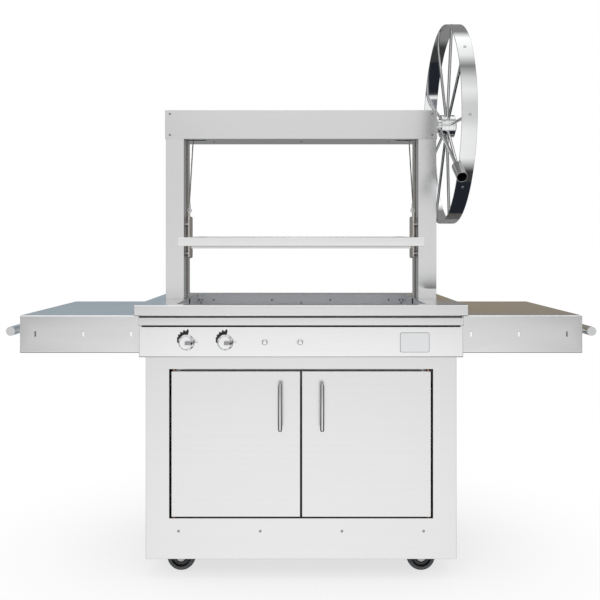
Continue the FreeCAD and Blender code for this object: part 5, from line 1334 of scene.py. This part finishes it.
def make_world():
    """White behind the grill, even light on it, and a studio of soft strips for the steel."""
    world = bpy.data.worlds.new("studio")
    world.use_nodes = True
    bpy.context.scene.world = world
    tree = world.node_tree
    even = tree.nodes["Background"]
    fill(tree, even, {"Color": CLEAR_WHITE, "Strength": bpy.context.scene.grill_stage.world_light})
    white = add(tree, "Background", {"Color": CLEAR_WHITE, "Strength": 1.0})
    mirrored = add(tree, "Background", {"Color": studio_strips(tree), "Strength": 1.0})
    path = add(tree, "LightPath")
    first = add(tree, "MixShader", {"Fac": path.outputs["Is Glossy Ray"],
                                    1: even.outputs["Background"],
                                    2: mirrored.outputs["Background"]})
    second = add(tree, "MixShader", {"Fac": seen(tree), 1: first.outputs["Shader"],
                                     2: white.outputs["Background"]})
    fill(tree, tree.nodes["World Output"], {"Surface": second.outputs["Shader"]})


def make_floor():
    """A pale floor that fades into the white background round the grill and keeps its shadow."""
    material, tree, main = shader("floor")
    grain = pattern(tree, 40.0, 4.0)
    fill(tree, main, {"Roughness": 0.9, "Specular IOR Level": 0.0,
                      "Base Color": ramp(tree, grain, 0.93, 0.95)})
    white = add(tree, "Emission", {"Color": CLEAR_WHITE, "Strength": 1.0})
    place = add(tree, "TexCoord")
    shape = add(tree, "Mapping", {"Vector": place.outputs["Object"],
                                  "Scale": (1 / FLOOR_ROOM.x, 1 / FLOOR_ROOM.y, 0)})
    reach = add(tree, "VectorMath", {0: shape.outputs["Vector"]}, operation="LENGTH")
    fade = add(tree, "MapRange", {"Value": reach.outputs["Value"], "From Min": FADE_START,
                                  "From Max": 1.0, "To Min": FADE_LEAST},
               interpolation_type="SMOOTHSTEP")
    part = add(tree, "Math", {0: seen(tree), 1: fade.outputs["Result"]}, operation="MULTIPLY")
    choice = add(tree, "MixShader", {"Fac": part.outputs["Value"], 1: main.outputs["BSDF"],
                                     2: white.outputs["Emission"]})
    fill(tree, tree.nodes["Material Output"], {"Surface": choice.outputs["Shader"]})
    data = bmesh.new()
    bmesh.ops.create_grid(data, x_segments=1, y_segments=1, size=FLOOR_HALF)
    data.transform(Matrix.Translation((0, 0, low("castor_wheel_front_left").z)))
    floor = mesh_object("floor", data, material)
    floor.visible_glossy = False


# The backdrop's and the even light's colour, with its alpha
CLEAR_WHITE = (1, 1, 1, 1)
FLOOR_HALF = 12.0
# How far the floor keeps its own look across and deep, where its fade starts and its least share
FLOOR_ROOM = Vector((1.5, 1.2, 0))
FADE_START = 0.3
FADE_LEAST = 0.7


def make_card(name, place, size, facing, colour, behind=False):
    """A card that only the steel's mirror images show: a bright one lights, a dark one shades."""
    data = bmesh.new()
    bmesh.ops.create_grid(data, x_segments=1, y_segments=1, size=0.5)
    data.transform(Matrix.Translation(place) @ turn_to(facing)
                   @ Matrix.Diagonal((size[0], size[1], 1, 1)))
    material, tree, main = shader(name)
    tree.nodes.remove(main)
    glow = add(tree, "Emission", {"Color": (*colour, 1), "Strength": 1.0})
    clear = add(tree, "BsdfTransparent")
    front, back = (clear, glow) if behind else (glow, clear)
    side = add(tree, "NewGeometry")
    choice = add(tree, "MixShader", {"Fac": side.outputs["Backfacing"], 1: front.outputs[0],
                                     2: back.outputs[0]})
    fill(tree, tree.nodes["Material Output"], {"Surface": choice.outputs["Shader"]})
    card = mesh_object(name, data, material)
    card.visible_camera = False
    card.visible_shadow = False
    card.visible_diffuse = False


def make_lamp(name, place, aim, size, power):
    """A soft rectangular white lamp."""
    data = bpy.data.lights.new(name, "AREA")
    data.shape = "RECTANGLE"
    data.size, data.size_y = size
    data.energy = power
    lamp = linked(name, data)
    lamp.visible_glossy = False
    lamp.location = place
    lamp.rotation_euler = (Vector(aim) - Vector(place)).to_track_quat("-Z", "Y").to_euler()




class GRILL_OT_finishes(bpy.types.Operator):
    """The finishes of every sheet, casting and print"""

    bl_idname = "grill.finishes"
    bl_label = "Finishes"

    def execute(self, context):
        make_materials()
        return {"FINISHED"}


# The cards: name, place, size, the way they face, colour, and whether their back is what glows
CARDS = (
    ("card_left", (-2.3, 2.2, 1.0), (3.0, 2.4), FRONT, (0.34, 0.40, 0.45)),
    ("card_right", (0.95, 0.95, 0.985), (0.9, 1.7), UP, (0.28, 0.23, 0.16), True),
    ("card_dark", (0.85, -0.03, 0.985), (0.75, 0.7), UP, (0.018, 0.021, 0.028)),
    ("card_rim", (0.93, -0.5, 1.35), (0.32, 0.75), BACK, (0.15, 0.16, 0.18)),
)
# The lamps: name, place, what they aim at, size
LAMPS = (
    ("lamp_front", (-0.9, -3.2, 2.7), (0, 0, 0.9), (2.2, 1.6)),
    ("lamp_top", (0.3, -0.4, 3.6), (0, 0, 0.8), (2.8, 2.0)),
)


class GRILL_OT_stage(bpy.types.Operator):
    """The camera, the soft studio and the pale floor"""

    bl_idname = "grill.stage"
    bl_label = "Stage"

    def execute(self, context):
        scene = context.scene
        scene.view_settings.view_transform = "Standard"
        make_camera()
        make_world()
        make_floor()
        for card in CARDS:
            make_card(*card)
        for lamp in LAMPS:
            make_lamp(*lamp, scene.grill_stage.key_power)
        return {"FINISHED"}


OPERATORS = (
    GRILL_OT_finishes, GRILL_OT_sheets, GRILL_OT_plain, GRILL_OT_wheel, GRILL_OT_crank,
    GRILL_OT_drums, GRILL_OT_cables, GRILL_OT_cable_ends, GRILL_OT_rollers, GRILL_OT_knobs,
    GRILL_OT_buttons, GRILL_OT_print, GRILL_OT_gap_shade, GRILL_OT_hems, GRILL_OT_handles,
    GRILL_OT_castors, GRILL_OT_screws, GRILL_OT_stage,
)


class GRILL_PT_panel(bpy.types.Panel):
    """Lists the grill's pieces and their settings"""

    bl_idname = "GRILL_PT_panel"
    bl_label = "Grill"
    bl_space_type = "VIEW_3D"
    bl_region_type = "UI"
    bl_category = "Grill"

    def draw(self, context):
        for operator in OPERATORS:
            self.layout.operator(operator.bl_idname)
        for group in (context.scene.grill_stage, context.scene.grill_pieces):
            for name in group.bl_rna.properties.keys():
                if name not in ("rna_type", "name"):
                    self.layout.prop(group, name)


GROUPS = (GrillStageSettings, GrillPieceSettings)


def register():
    for kind in GROUPS + OPERATORS + (GRILL_PT_panel,):
        bpy.utils.register_class(kind)
    bpy.types.Scene.grill_stage = PointerProperty(type=GrillStageSettings)
    bpy.types.Scene.grill_pieces = PointerProperty(type=GrillPieceSettings)


def unregister():
    del bpy.types.Scene.grill_stage
    del bpy.types.Scene.grill_pieces
    for kind in reversed(GROUPS + OPERATORS + (GRILL_PT_panel,)):
        bpy.utils.unregister_class(kind)


def main():
    """Makes every piece in order."""
    register()
    for operator in OPERATORS:
        group, name = operator.bl_idname.split(".")
        getattr(getattr(bpy.ops, group), name)()
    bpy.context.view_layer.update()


if __name__ == "__main__":
    main()
